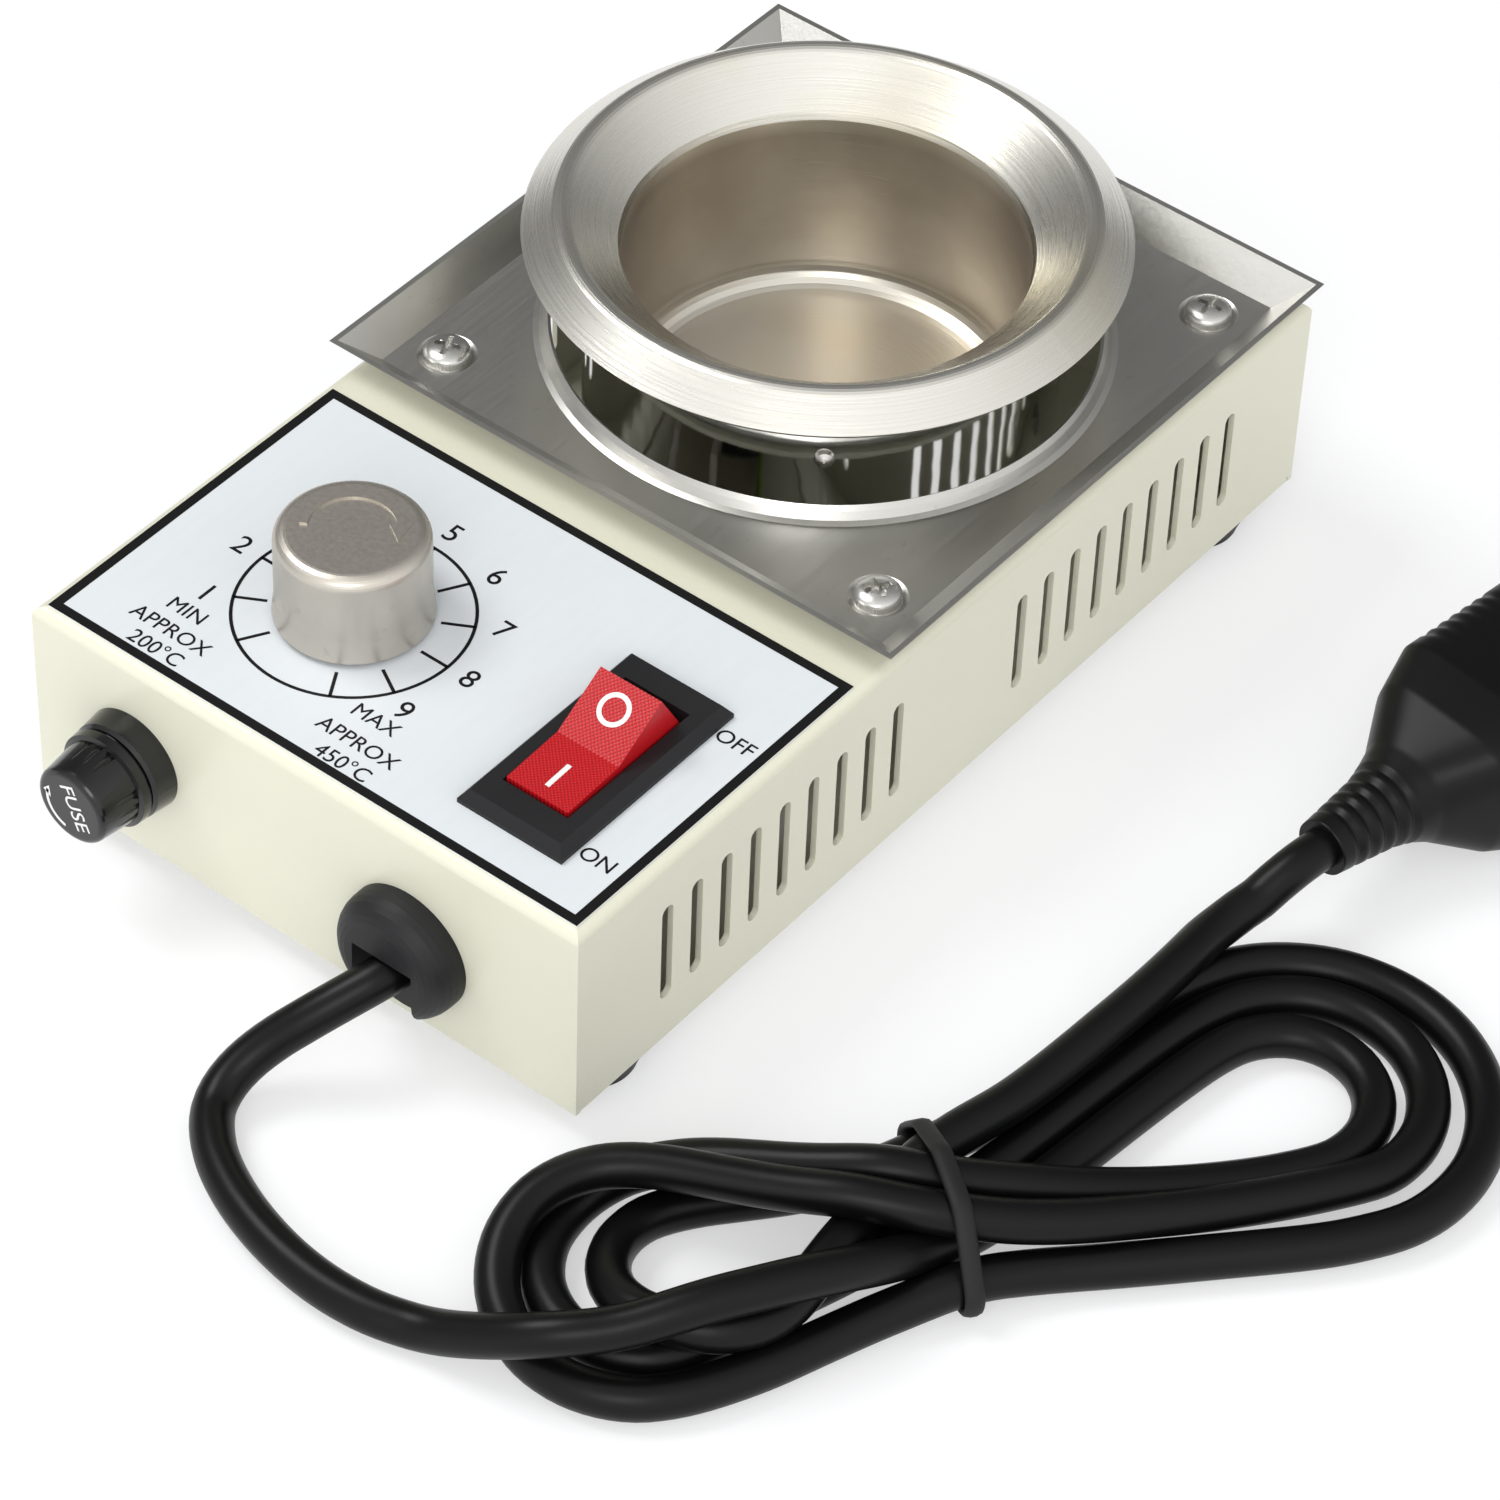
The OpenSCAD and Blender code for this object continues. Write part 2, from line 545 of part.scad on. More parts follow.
module heat_shield() color("silver") at_pot() difference() {
  disc(shield_r, shield_z, shield_top_z);
  disc(shield_r - shield_t, shield_z + shield_t, shield_top_z + 1);
  disc(stud_r + slack, shield_z - 1, shield_z + 1);
  for (a = lead_angles) rotate(a) translate([lead_ring_r, 0, 0]) disc(lead_hole_r, shield_z - 1, shield_z + 1);
}
rivet_angles = [-52, -140, 60];
module shield_rivets() color("silver") at_pot() for (a = rivet_angles) rotate(a) translate([shield_r, 0, top_z + 5]) rotate([0, 90, 0])
  rotate_extrude() polygon([[0, 0], [1.3, 0], [1.1, 0.5], [0.5, 0.8], [0, 0.9]]);
module pot_spacer() color("silver") at_pot() difference() {
  disc(6, plate_z, shield_z);
  disc(stud_r + slack, plate_z - 1, shield_z + 1);
}
module pot_stud() color("silver") at_pot() disc(stud_r, stud_end_z - 0.3, pot_under_z);
module pot_nut() color("silver") at_pot() difference() {
  translate([0, 0, base_z - pot_nut_h]) hex_prism(7, pot_nut_h);
  disc(stud_r + run, -1, base_z + 1);
}

// ---- wiring ----
lead_angles = [-110, -70];
lead_ring_r = 27.4;
wire_r = 1;
cord_in = 9;          // the lead's outer sheath ends this far behind the front face
module earth_place() translate([14, 58, 0]) children();
tag_t = 0.6;
module earth_screw() color("gold") from_front() earth_place() pan_screw(plate_z + tag_t, 3.6);
module earth_tag() color("silver") from_front() earth_place() difference() {
  union() {
    disc(3.4, plate_z, plate_z + tag_t);
    block(-1.4, 1.4, -8, 0, plate_z, plate_z + tag_t);
  }
  disc(m3_r + slack, plate_z - 1, plate_z + 1);
}
module wire(p, c) color(c) from_front() tube(p, wire_r, 6, [0.2, 0.3, 1]);
tag_x = switch_x;
tag_z = terminal_z + 1.7;
module wire_live() wire([[relief_x - 1.1, cord_in, cord_z + 0.6], [relief_x - 1.1, 12, cord_z + 0.6], [10, 20, 11], [-4, 30, 9], [-16, 40, 10],
  [-23, 45, 14], [fuse_x, 41, fuse_axis_z], [fuse_x, tag_y, fuse_axis_z]], "brown");
module wire_switch() wire([[fuse_x, 20, fuse_axis_z - 7.3], [fuse_x, 15, 10.4], [-22, 10, 8.5], [-10, 9, 7.2], [6, 9, 7.2], [18, 9, 7.6],
  [tag_x - 0.6, 9.5, 9], [tag_x, 11.6, tag_z], [tag_x, switch_y - 8.4, tag_z]], "brown");
module wire_feed() wire([[tag_x, switch_y + 0.4, tag_z], [tag_x, switch_y + 2.6, tag_z], [21, 28.4, 10], [10, 34, 10], [4, 39, 12],
  [2, 42, 15], [2, 42, board_z]], "brown");
module wire_lamp() wire([[tag_x, switch_y + 8.4, tag_z], [tag_x, switch_y + 11, tag_z], [21, 37, 10.5], [14, 40, 12], [9, 41, 14.5],
  [8, 41, 17], [8, 41, board_z]], "blue");
module wire_neutral() wire([[relief_x + 1.1, cord_in, cord_z + 0.6], [relief_x + 1.1, 12, cord_z + 0.6], [15, 17, 15], [10, 21, 15],
  [6, 24, 15.5], [5, 25, 17], [5, 25, board_z]], "blue");
module wire_earth() wire([[relief_x, cord_in, cord_z - 1.3], [relief_x, 12, cord_z - 1.3], [17, 20, 8], [15, 34, 6.5], [14, 44, 6.4],
  [14, 52, 6.4]], "green");
module heater_lead(a, board_end, c) {
  x = pot_x + lead_ring_r * cos(a);
  y = pot_y + lead_ring_r * sin(a);
  wire([[x, y, band_z], [x, y, 16], [x, y, 8.6], [x, y - 3, 7], [board_end, y - 14, 8], [board_end, 56, 13], [board_end, 53.5, board_z + 0.8],
    [board_end, board_y + board_l, board_z + 0.8]], c);
}
module heater_lead_left() heater_lead(lead_angles[0], -12, "white");
module heater_lead_right() heater_lead(lead_angles[1], 0, "white");

// ---- mains lead ----
cord_r = cord_d / 2;
// straight out of the strain relief, down to the ground in a loose bow, and into the hank
lead_route = [[relief_x, cord_in, cord_z], [relief_x, 0, cord_z], [relief_x, -4, cord_z], [14.5, -8, 12.8], [12, -12, 11],
  [9, -16, 8], [7.5, -20, 5.4], [8, -24, 3.4], [12, -28.5, 2.8], [18, -32, 2.7], [26, -34.6, 2.7], [34, -35.6, 2.7], [41, -35, 2.7], [47, -33.2, 2.7]];
lead_turn = 16.7;
tail_route = [[81.2, 61, 5], [81, 67, 5], [82, 74, 7.6], [83.8, 80, 10.4], [84.4, 84, 10.4]];
tail_turn = 92;
plug_at = [84.4, 84, 10.4];
plug_turn = 81.5;
// outlines of the two ends of the hank, as the places of the outer strands
left_lobe = [[49.5, -11], [47.9, -21.3], [50, -28], [54, -30.3], [61, -25.3], [72.4, -11.1], [86, 10], [76, 21], [64.7, 9.3], [53.9, -1]];
right_lobe = [[86, 8], [96, 15.7], [107.5, 26.4], [118.2, 36.6], [122.9, 49.4], [120.8, 63.2], [115.2, 71.7], [104.1, 77.2], [95.2, 76.5],
  [90, 73], [87, 62], [75.5, 22]];
tie_at = [80.8, 15.3];
tie_turn = 54;
tie_w = 2.8;
tie_t = 1.2;
tie_half = 10;        // half the width of the bundle inside the tie
module cord_lead() color("black") from_front() tube(lead_route, cord_r, 10);
module cord_tail() color("black") from_front() tube(tail_route, cord_r, 10);
module lobe(spots) hull() for (s = spots) translate(s) circle(r = cord_r, $fn = 24);
module strand_end(at, turn, z1) translate([at[0], at[1], 0]) rotate(turn) block(0, 8, -cord_r, cord_r, 0, z1);
module tie_box(half, z0, z1) translate([tie_at[0], tie_at[1], 0]) rotate(tie_turn) block(-tie_w / 2, tie_w / 2, -half, half, z0, z1);
module cord_hank() color("black") from_front() difference() {
  union() {
    linear_extrude(hank_h) {
      lobe(left_lobe);
      lobe(right_lobe);
    }
    strand_end(lead_route[len(lead_route) - 1], lead_turn, 2 * cord_r);
    strand_end(tail_route[0], tail_turn + 180, 8);
  }
  difference() {
    tie_box(40, -1, hank_h + 1);
    tie_box(tie_half, tie_t, hank_h);
  }
}
module cord_tie() color("dimgray") from_front() difference() {
  tie_box(tie_half + tie_t, 0, hank_h + tie_t);
  translate([tie_at[0], tie_at[1], 0]) rotate(tie_turn) block(-tie_w, tie_w, -tie_half, tie_half, tie_t, hank_h);
}

// ---- plug ----
tail_l = 14;
plug_end = tail_l + plug_l;
module at_plug() from_front() translate(plug_at) rotate(plug_turn) children();
module plug_body() color("black") at_plug() {
  rotate([0, 90, 0]) rotate_extrude() polygon([[0, 0], [3.6, 0], [5.6, tail_l + 1], [0, tail_l + 1]]);
  intersection() {
    linear_extrude(plug_t, center = true) plug_plan(plug_w / 2);
    rotate([90, 0, 0]) linear_extrude(plug_w, center = true) plug_plan(plug_t / 2);
  }
}
module plug_plan(half) polygon([[tail_l, -6.5], [tail_l + 9, -half + 0.6], [tail_l + 14, -half], [plug_end - 1, -half], [plug_end, -half + 1],
  [plug_end, half - 1], [plug_end - 1, half], [tail_l + 14, half], [tail_l + 9, half - 0.6], [tail_l, 6.5]]);
module plug_blades() color("gold") at_plug() for (z = [-6.35, 6.35]) block(plug_end, plug_end + 17.6, -9, -2.7, z - 0.75, z + 0.75);
module plug_earth_pin() color("gold") at_plug() translate([plug_end, 6, 0]) rotate([0, 90, 0]) cylinder(r = 2.4, h = 20.6);

cover();
base_plate();
foot_front_left();
foot_front_right();
foot_rear_left();
foot_rear_right();
foot_screws();
panel_label();
knob_cap();
knob_core();
control_shaft();
control();
control_washer();
control_nut();
circuit_board();
triac();
filter_capacitor();
switch_housing();
rocker();
switch_terminals();
fuse_holder();
fuse_holder_nut();
fuse_tags();
fuse_cap();
fuse_glass();
fuse_ferrules();
strain_relief();
tray();
tray_screws();
tray_nuts();
crucible();
heater_band();
pot_insulation();
heat_shield();
shield_rivets();
pot_spacer();
pot_stud();
pot_nut();
earth_screw();
earth_tag();
wire_live();
wire_switch();
wire_feed();
wire_lamp();
wire_neutral();
wire_earth();
heater_lead_left();
heater_lead_right();
cord_lead();
cord_hank();
cord_tie();
cord_tail();
plug_body();
plug_blades();
plug_earth_pin();
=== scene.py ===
# %% [markdown]
# # A bench solder pot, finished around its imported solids
# The solids come in metres and stay where they are. This file gives them their finishes, lays the
# mains lead, prints the panel, and adds the small parts that are too fine for the solids.

# %% Load the frame
import json
import math

import bmesh
import bpy
import numpy as np
from mathutils import Matrix, Vector
from mathutils.geometry import convex_hull_2d


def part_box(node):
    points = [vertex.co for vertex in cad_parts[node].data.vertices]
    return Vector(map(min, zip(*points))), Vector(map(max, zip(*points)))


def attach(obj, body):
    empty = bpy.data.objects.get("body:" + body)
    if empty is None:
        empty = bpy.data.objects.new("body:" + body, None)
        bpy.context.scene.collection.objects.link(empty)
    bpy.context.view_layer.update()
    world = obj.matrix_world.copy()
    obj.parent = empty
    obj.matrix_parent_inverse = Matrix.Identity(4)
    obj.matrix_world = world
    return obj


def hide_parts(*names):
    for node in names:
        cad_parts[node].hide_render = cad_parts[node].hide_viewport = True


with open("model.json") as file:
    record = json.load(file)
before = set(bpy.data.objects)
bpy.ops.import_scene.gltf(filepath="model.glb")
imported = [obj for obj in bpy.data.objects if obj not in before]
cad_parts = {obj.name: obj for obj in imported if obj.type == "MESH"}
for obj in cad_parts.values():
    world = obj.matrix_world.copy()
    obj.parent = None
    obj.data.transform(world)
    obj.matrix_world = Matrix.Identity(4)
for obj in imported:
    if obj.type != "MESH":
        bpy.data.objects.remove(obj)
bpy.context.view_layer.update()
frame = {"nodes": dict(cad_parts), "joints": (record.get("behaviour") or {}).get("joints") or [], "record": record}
MM = 0.001
nodes = frame["nodes"]
print("solids:", len(nodes))

# %% [markdown]
# A long lens from a good way off keeps the case's long edges nearly parallel. The camera has a place
# and three turns, which are easier to read than a matrix.

# %% Camera
AZIMUTH, ELEVATION, ROLL = math.radians(36.857), math.radians(44.678), 0.04258
CAMERA_AT = Vector((326.42, -416.05, 510.18)) * MM
SENSOR_W, LENS = 36, 144.16
forward = Vector((
    -math.sin(AZIMUTH) * math.cos(ELEVATION),
    math.cos(AZIMUTH) * math.cos(ELEVATION),
    -math.sin(ELEVATION),
))
level = forward.cross(Vector((0, 0, 1))).normalized()
upright = level.cross(forward)
right = level * math.cos(ROLL) + upright * math.sin(ROLL)
up = upright * math.cos(ROLL) - level * math.sin(ROLL)
camera_data = bpy.data.cameras.new("camera")
camera_data.sensor_width = SENSOR_W
camera_data.lens = LENS
camera = bpy.data.objects.new("camera", camera_data)
bpy.context.scene.collection.objects.link(camera)
camera.matrix_world = Matrix((right, up, -forward)).transposed().to_4x4()
camera.location = CAMERA_AT
bpy.context.scene.camera = camera
print("camera at", tuple(round(v, 3) for v in CAMERA_AT))

# %% [markdown]
# ## The mains lead
# A round black lead, 5.2 mm thick, leaves the strain relief, bows down to the bench and is folded into
# a hank: three folds at each end and seven passes through a rubber ring. Each fold is an arc with a
# centre and a radius, and each pass has its place across the ring. Those few sizes are the design; the
# strands then settle against each other, which is how real ones find their places.

# %% Driving sizes of the lead, in millimetres from the case's front face
front_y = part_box("cover")[0].y / MM
LEAD_D = 5.2
STRAND_R = LEAD_D / 2
RING_T = 1.2
LEAD = [
    [16.4, 9, 13.7], [16.4, 0, 13.7], [16.4, -4, 13.7], [14.5, -8, 12.8], [12, -12, 11],
    [9, -16, 8], [7.5, -20, 5.4], [8, -24, 3.4], [12, -28.5, 2.8], [18, -32, 2.7],
    [26, -34.6, 2.7], [34, -35.6, 2.7], [41, -35, 2.7], [47, -33.2, 2.7],
]
OVER_FOLD = [[54, -31.5, 5], [61, -29, 7.8], [67, -23.5, 7.8], [73, -14.5, 7.6], [79, -2, 6]]
TAIL = [
    [79.2, 32, 8], [80.6, 46, 7.6], [81.2, 61, 5], [81, 67, 5],
    [82, 74, 7.6], [83.8, 80, 10.4], [84.4, 84, 10.4], [85, 88, 10.4],
]
TIE_AT, TIE_TURN = np.array([80.8, 15.3]), math.radians(54)
LOWER, UPPER = STRAND_R + RING_T, 8.0
along = np.array([math.cos(TIE_TURN), math.sin(TIE_TURN)])
across = np.array([math.sin(TIE_TURN), -math.cos(TIE_TURN)])


def through_ring(offset, height):
    """Where a pass crosses the ring: offset across the bundle, and height above the bench."""
    x, y = TIE_AT + across * offset
    return [[x, y, height]]


def fold(centre, radius, start, end, z0, z1, count=9):
    """An arc that turns the lead round, from one angle to another while its height changes."""
    points = []
    for share in np.linspace(0, 1, count):
        turn = np.radians(start + (end - start) * share)
        x = centre[0] + radius * math.cos(turn)
        y = centre[1] + radius * math.sin(turn)
        points.append([x, y, z0 + (z1 - z0) * share])
    return points


route = LEAD + OVER_FOLD
route += through_ring(3.2, LOWER) + fold((99.5, 53.5), 11.5, 168, -38, STRAND_R, 5)
route += through_ring(0.6, UPPER) + fold((60.5, -11.5), 12, 118, 334, 7.8, STRAND_R)
route += through_ring(-2, LOWER) + fold((100, 57), 15, 170, -35, STRAND_R, 6)
route += through_ring(5.8, UPPER) + fold((61, -15.5), 14, 118, 332, 7.8, STRAND_R)
route += through_ring(8.4, LOWER) + fold((102.5, 56.5), 20.5, -42, 166, STRAND_R, STRAND_R)
route += through_ring(-7.2, LOWER) + fold((67.5, -8), 11.5, 142, 350, STRAND_R, 5)
route += through_ring(-4.6, UPPER) + TAIL
print("route points:", len(route))

# %% [markdown]
# A smooth line through the points: each stretch is a cubic whose pace follows the distance between its
# ends, so close points don't make it overshoot. It is then walked in even steps.


# %% Smooth line through the route
POINTS_BETWEEN = 24


def even_steps(line, count):
    reach = np.concatenate([[0], np.cumsum(np.linalg.norm(np.diff(line, axis=0), axis=1))])
    stops = np.linspace(0, reach[-1], count)
    return np.stack([np.interp(stops, reach, line[:, c]) for c in range(3)], axis=1)


def length_of(line):
    return float(np.linalg.norm(np.diff(line, axis=0), axis=1).sum())


def paced(a, b, ta, tb, now):
    """The point at now on the way from a, passed at ta, to b, passed at tb."""
    return ((tb - now) * a + (now - ta) * b) / (tb - ta)


def smooth_line(points, step):
    p = np.array(points, float)
    p = np.vstack([2 * p[0] - p[1], p, 2 * p[-1] - p[-2]])
    line = []
    for p0, p1, p2, p3 in zip(p, p[1:], p[2:], p[3:]):
        paces = [np.linalg.norm(b - a) ** 0.5 for a, b in ((p0, p1), (p1, p2), (p2, p3))]
        t = np.concatenate([[0], np.cumsum(paces)])
        for now in np.linspace(t[1], t[2], POINTS_BETWEEN, endpoint=False):
            a1 = paced(p0, p1, t[0], t[1], now)
            a2 = paced(p1, p2, t[1], t[2], now)
            a3 = paced(p2, p3, t[2], t[3], now)
            b1 = paced(a1, a2, t[0], t[2], now)
            b2 = paced(a2, a3, t[1], t[3], now)
            line.append(paced(b1, b2, t[1], t[2], now))
    line = np.array(line + [p[-2]])
    return even_steps(line, round(length_of(line) / step) + 1)


# %% [markdown]
# Settling: strands that are nearer than their thickness push apart, mostly up and down. A stiff lead
# spreads each push along itself, so only the shift is smoothed and the folds keep their own radius. It
# sinks until the bench or another strand holds it. The ring's own thickness lifts the bundle a little
# where it passes under it. At the tightest crossing the strands stay pressed a millimetre into each
# other.

# %% Sizes of the settling, in millimetres, in points along the lead and in shares of a shift
CLEAR = LEAD_D + 0.15
HANK_X, RING_REACH = 60, 8
ROUTE_STEP, SHEATH_STEP = 2.4, 1.3
SAME_STRETCH, STRAIGHT_OUT, TAIL_HELD = 7, 7, 4
UPWARD, KEPT_SHIFT, SINK, TINY = 0.7, 0.995, 0.03, 1e-6
ROUNDS, QUICK_ROUNDS = 1000, 250
print("strands keep clear, mm:", CLEAR)


# %% Settle the strands
def bench_height(line):
    """Lowest height that each point's centre can have."""
    run = (line[:, :2] - TIE_AT) @ along
    return STRAND_R + RING_T * np.exp(-(run / RING_REACH) ** 2) * (line[:, 0] > HANK_X)


def far_along(line, points):
    """Pairs of points that are more than so many points apart along the lead."""
    order = np.arange(len(line))
    return abs(order[:, None] - order) > points


def settle(line, rounds, held):
    home, apart = line.copy(), far_along(line, SAME_STRETCH)
    for _ in range(rounds):
        gap = line[:, None] - line[None]
        near = np.linalg.norm(gap, axis=2)
        i, j = np.where(np.triu((near < CLEAR) & apart))
        push, hits = np.zeros_like(line), np.zeros(len(line))
        if len(i):
            way = gap[i, j] / np.maximum(near[i, j], TINY)[:, None]
            way[:, 2] += UPWARD * np.where(line[i, 2] >= line[j, 2], 1, -1)
            way *= ((CLEAR - near[i, j]) / 2 / np.linalg.norm(way, axis=1))[:, None]
            for who, sign in ((i, 1), (j, -1)):
                np.add.at(push, who, sign * way)
                np.add.at(hits, who, 1)
        line = line + push / np.maximum(hits, 1)[:, None]
        shift = line - home
        for _ in range(2):
            shift[1:-1] += ((shift[:-2] + shift[2:]) / 2 - shift[1:-1]) / 2
        line = home + KEPT_SHIFT * shift
        line[:, 2] = np.maximum(line[:, 2] - SINK, bench_height(line))
        line[held] = home[held]
    return line


strands = smooth_line(route, ROUTE_STEP)
held = np.zeros(len(strands), bool)
held[:STRAIGHT_OUT] = True
held_from = np.linalg.norm(strands - np.array(TAIL[TAIL_HELD]), axis=1).argmin()
held[held_from:] = True
strands = settle(strands, ROUNDS, held)
strands = smooth_line(strands, SHEATH_STEP)
strands[:, 2] = np.maximum(strands[:, 2], STRAND_R)
distances = np.linalg.norm(strands[:, None] - strands[None], axis=2)
closest = distances[far_along(strands, 2 * SAME_STRETCH)].min()
ahead = np.gradient(strands, axis=0)
turning = np.linalg.norm(np.diff(ahead / np.linalg.norm(ahead, axis=1)[:, None], axis=0), axis=1)
print("lead settled, mm: length", round(length_of(strands)), "closest", round(closest, 2))
print("tightest bend, mm:", round(SHEATH_STEP / turning.max(), 1))


# %% [markdown]
# The lead itself is a round section carried along the line. Each section is turned as little as
# possible from the one before, so the sheath doesn't twist, and both ends are closed.


# %% Make the lead
def in_frame(points):
    """Points from the front face, in millimetres, as metres in the frame."""
    return (np.array(points) + [0, front_y, 0]) * MM


def add_object(name, data, body):
    piece = bpy.data.objects.new(name, data)
    bpy.context.scene.collection.objects.link(piece)
    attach(piece, body)
    return piece


def mesh_from(name, verts, faces):
    mesh = bpy.data.meshes.new(name)
    mesh.from_pydata([tuple(v) for v in verts], [], faces)
    made = bmesh.new()
    made.from_mesh(mesh)
    bmesh.ops.recalc_face_normals(made, faces=made.faces)
    made.to_mesh(mesh)
    made.free()
    for face in mesh.polygons:
        face.use_smooth = len(face.vertices) == 4
    return mesh


def full_turn(count):
    return np.linspace(0, 2 * math.pi, count, endpoint=False)


def skin(rings, closed=False):
    """Faces between rings of points that all have the same count; open ends get a cap."""
    sides, turns = len(rings[0]), len(rings)
    faces = []
    for i in range(turns if closed else turns - 1):
        near, far = i * sides, (i + 1) % turns * sides
        for k in range(sides):
            n = (k + 1) % sides
            faces.append((near + k, near + n, far + n, far + k))
    if not closed:
        faces += [tuple(range(sides)), tuple(range((turns - 1) * sides, turns * sides))]
    return faces


def sweep(line, radius, sides=18):
    ahead = np.gradient(line, axis=0)
    ahead /= np.linalg.norm(ahead, axis=1)[:, None]
    side = np.cross(ahead[0], (0, 0, 1))
    rings = []
    for at, way in zip(line, ahead):
        side = side - way * (side @ way)
        side /= np.linalg.norm(side)
        lift = np.cross(side, way)
        rings.append([at + radius * (math.cos(a) * side + math.sin(a) * lift) for a in full_turn(sides)])
    return rings


sheath = sweep(in_frame(strands), STRAND_R * MM)
sheath_mesh = mesh_from("mains_lead", np.concatenate(sheath), skin(sheath))
mains_lead = add_object("mains_lead", sheath_mesh, "base")
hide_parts("cord_lead", "cord_hank", "cord_tail")
print("sheath sections:", len(sheath))

# %% [markdown]
# The tie is a flat rubber ring stretched round the bundle, so its shape is the outline of the strands
# that it holds, as a taut band would find it.


# %% Make the rubber ring
RING_W, RING_CATCH, ABOVE_BENCH = 2.4, 1.3, 0.02


def ring_outline(grow):
    run = (strands[:, :2] - TIE_AT) @ along
    held_here = strands[(abs(run) < RING_CATCH) & (strands[:, 0] > HANK_X)]
    reach = STRAND_R + grow
    spots = []
    for strand in held_here:
        offset = (strand[:2] - TIE_AT) @ across
        spots += [(offset + reach * math.cos(a), strand[2] + reach * math.sin(a)) for a in full_turn(28)]
    return np.array([spots[i] for i in convex_hull_2d([Vector(s) for s in spots])])


def ring_section(spot, middle):
    """Ten points round the band's flat oval section, where it crosses spot."""
    out = (spot - middle) / np.linalg.norm(spot - middle)
    section = []
    for a in full_turn(10):
        offset, height = spot + out * math.sin(a) * RING_T / 2
        x, y = TIE_AT + across * offset + along * math.cos(a) * RING_W / 2
        section.append((x, y, max(height, ABOVE_BENCH)))
    return in_frame(section)


outline = ring_outline(RING_T / 2)
ring_rings = [ring_section(spot, outline.mean(axis=0)) for spot in outline]
ring_mesh = mesh_from("rubber_ring", np.concatenate(ring_rings), skin(ring_rings, closed=True))
rubber_ring = add_object("rubber_ring", ring_mesh, "base")
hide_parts("cord_tie")
print("ring outline points:", len(outline))

# %% [markdown]
# The plug is moulded on the lead. Its boot is a round cone with grooves that let it bend, and its body
# swells into a rounded block with shallow ridges where fingers pull. A loft does both: the section goes
# from a circle to a rounded square, while its half width and half height follow a short profile.

# %% Make the plug
PLUG_AT, PLUG_TURN = np.array(TAIL[-2]), math.radians(81.5)
PLUG_PROFILE = [
    (0, 3.6, 3.6), (9, 4.8, 4.8), (14, 6.4, 6.2), (20, 10.4, 9), (26, 12.4, 10.3),
    (42.4, 12.4, 10.3), (43.6, 12, 9.9), (44, 11.2, 9.2),
]
PLUG_STEP = 0.4
GROOVES_FROM, BOOT_L, BODY_FROM, RIDGES_FROM, RIDGES_TO = 2, 12, 26, 28, 40
GROOVE, RIDGE = 0.4, 0.25


def plug_section(reach):
    """One section at reach along the plug: a circle at the boot, and a rounded square at the body."""
    places, wides, highs = zip(*PLUG_PROFILE)
    wide, high = np.interp(reach, places, wides), np.interp(reach, places, highs)
    square = 2 + 3 * np.interp(reach, [BOOT_L, BODY_FROM], [0, 1])
    if GROOVES_FROM < reach < BOOT_L - 1:
        groove = GROOVE * (math.sin(reach * math.pi) > 0)
        wide, high = wide - groove, high - groove
    if RIDGES_FROM < reach < RIDGES_TO:
        wide -= RIDGE * (1 - math.cos(reach * math.pi))
    way_x, way_y = math.cos(PLUG_TURN), math.sin(PLUG_TURN)
    section = []
    for a in full_turn(48):
        c, s = math.cos(a), math.sin(a)
        side = wide * math.copysign(abs(c) ** (2 / square), c)
        lift = high * math.copysign(abs(s) ** (2 / square), s)
        section.append(PLUG_AT + [reach * way_x + side * way_y, reach * way_y - side * way_x, lift])
    return in_frame(section)


plug_rings = [plug_section(reach) for reach in np.arange(0, PLUG_PROFILE[-1][0] + PLUG_STEP / 4, PLUG_STEP)]
plug_mesh = mesh_from("moulded_plug", np.concatenate(plug_rings), skin(plug_rings))
moulded_plug = add_object("moulded_plug", plug_mesh, "base")
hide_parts("plug_body")
print("plug sections:", len(plug_rings))

# %% [markdown]
# ## Finishes
# `Value` wraps a socket, so that shader maths reads as arithmetic. `Finish` is one material: constants
# go straight on the shader, and anything that varies is linked. All textures use object coordinates,
# which are the frame's own metres, so a 0.5 mm grain is 0.5 mm on every piece.


# %% Shader helpers
MICRON = 0.001 * MM


class Value:
    def __init__(self, finish, socket):
        self.finish, self.socket = finish, socket

    def math(self, operation, *others, clamp=False):
        settings = {"operation": operation, "use_clamp": clamp}
        return self.finish.node("ShaderNodeMath", settings, dict(enumerate((self, *others))))[0]

    def __add__(self, other):
        return self.math("ADD", other)

    __radd__ = __add__

    def __sub__(self, other):
        return self.math("SUBTRACT", other)

    def __rsub__(self, other):
        return (self * -1) + other

    def __mul__(self, other):
        return self.math("MULTIPLY", other)

    __rmul__ = __mul__

    def between(self, low, high):
        """0 below low, 1 above high, and even between them."""
        return ((self - low) * (1 / (high - low))).math("ADD", 0.0, clamp=True)


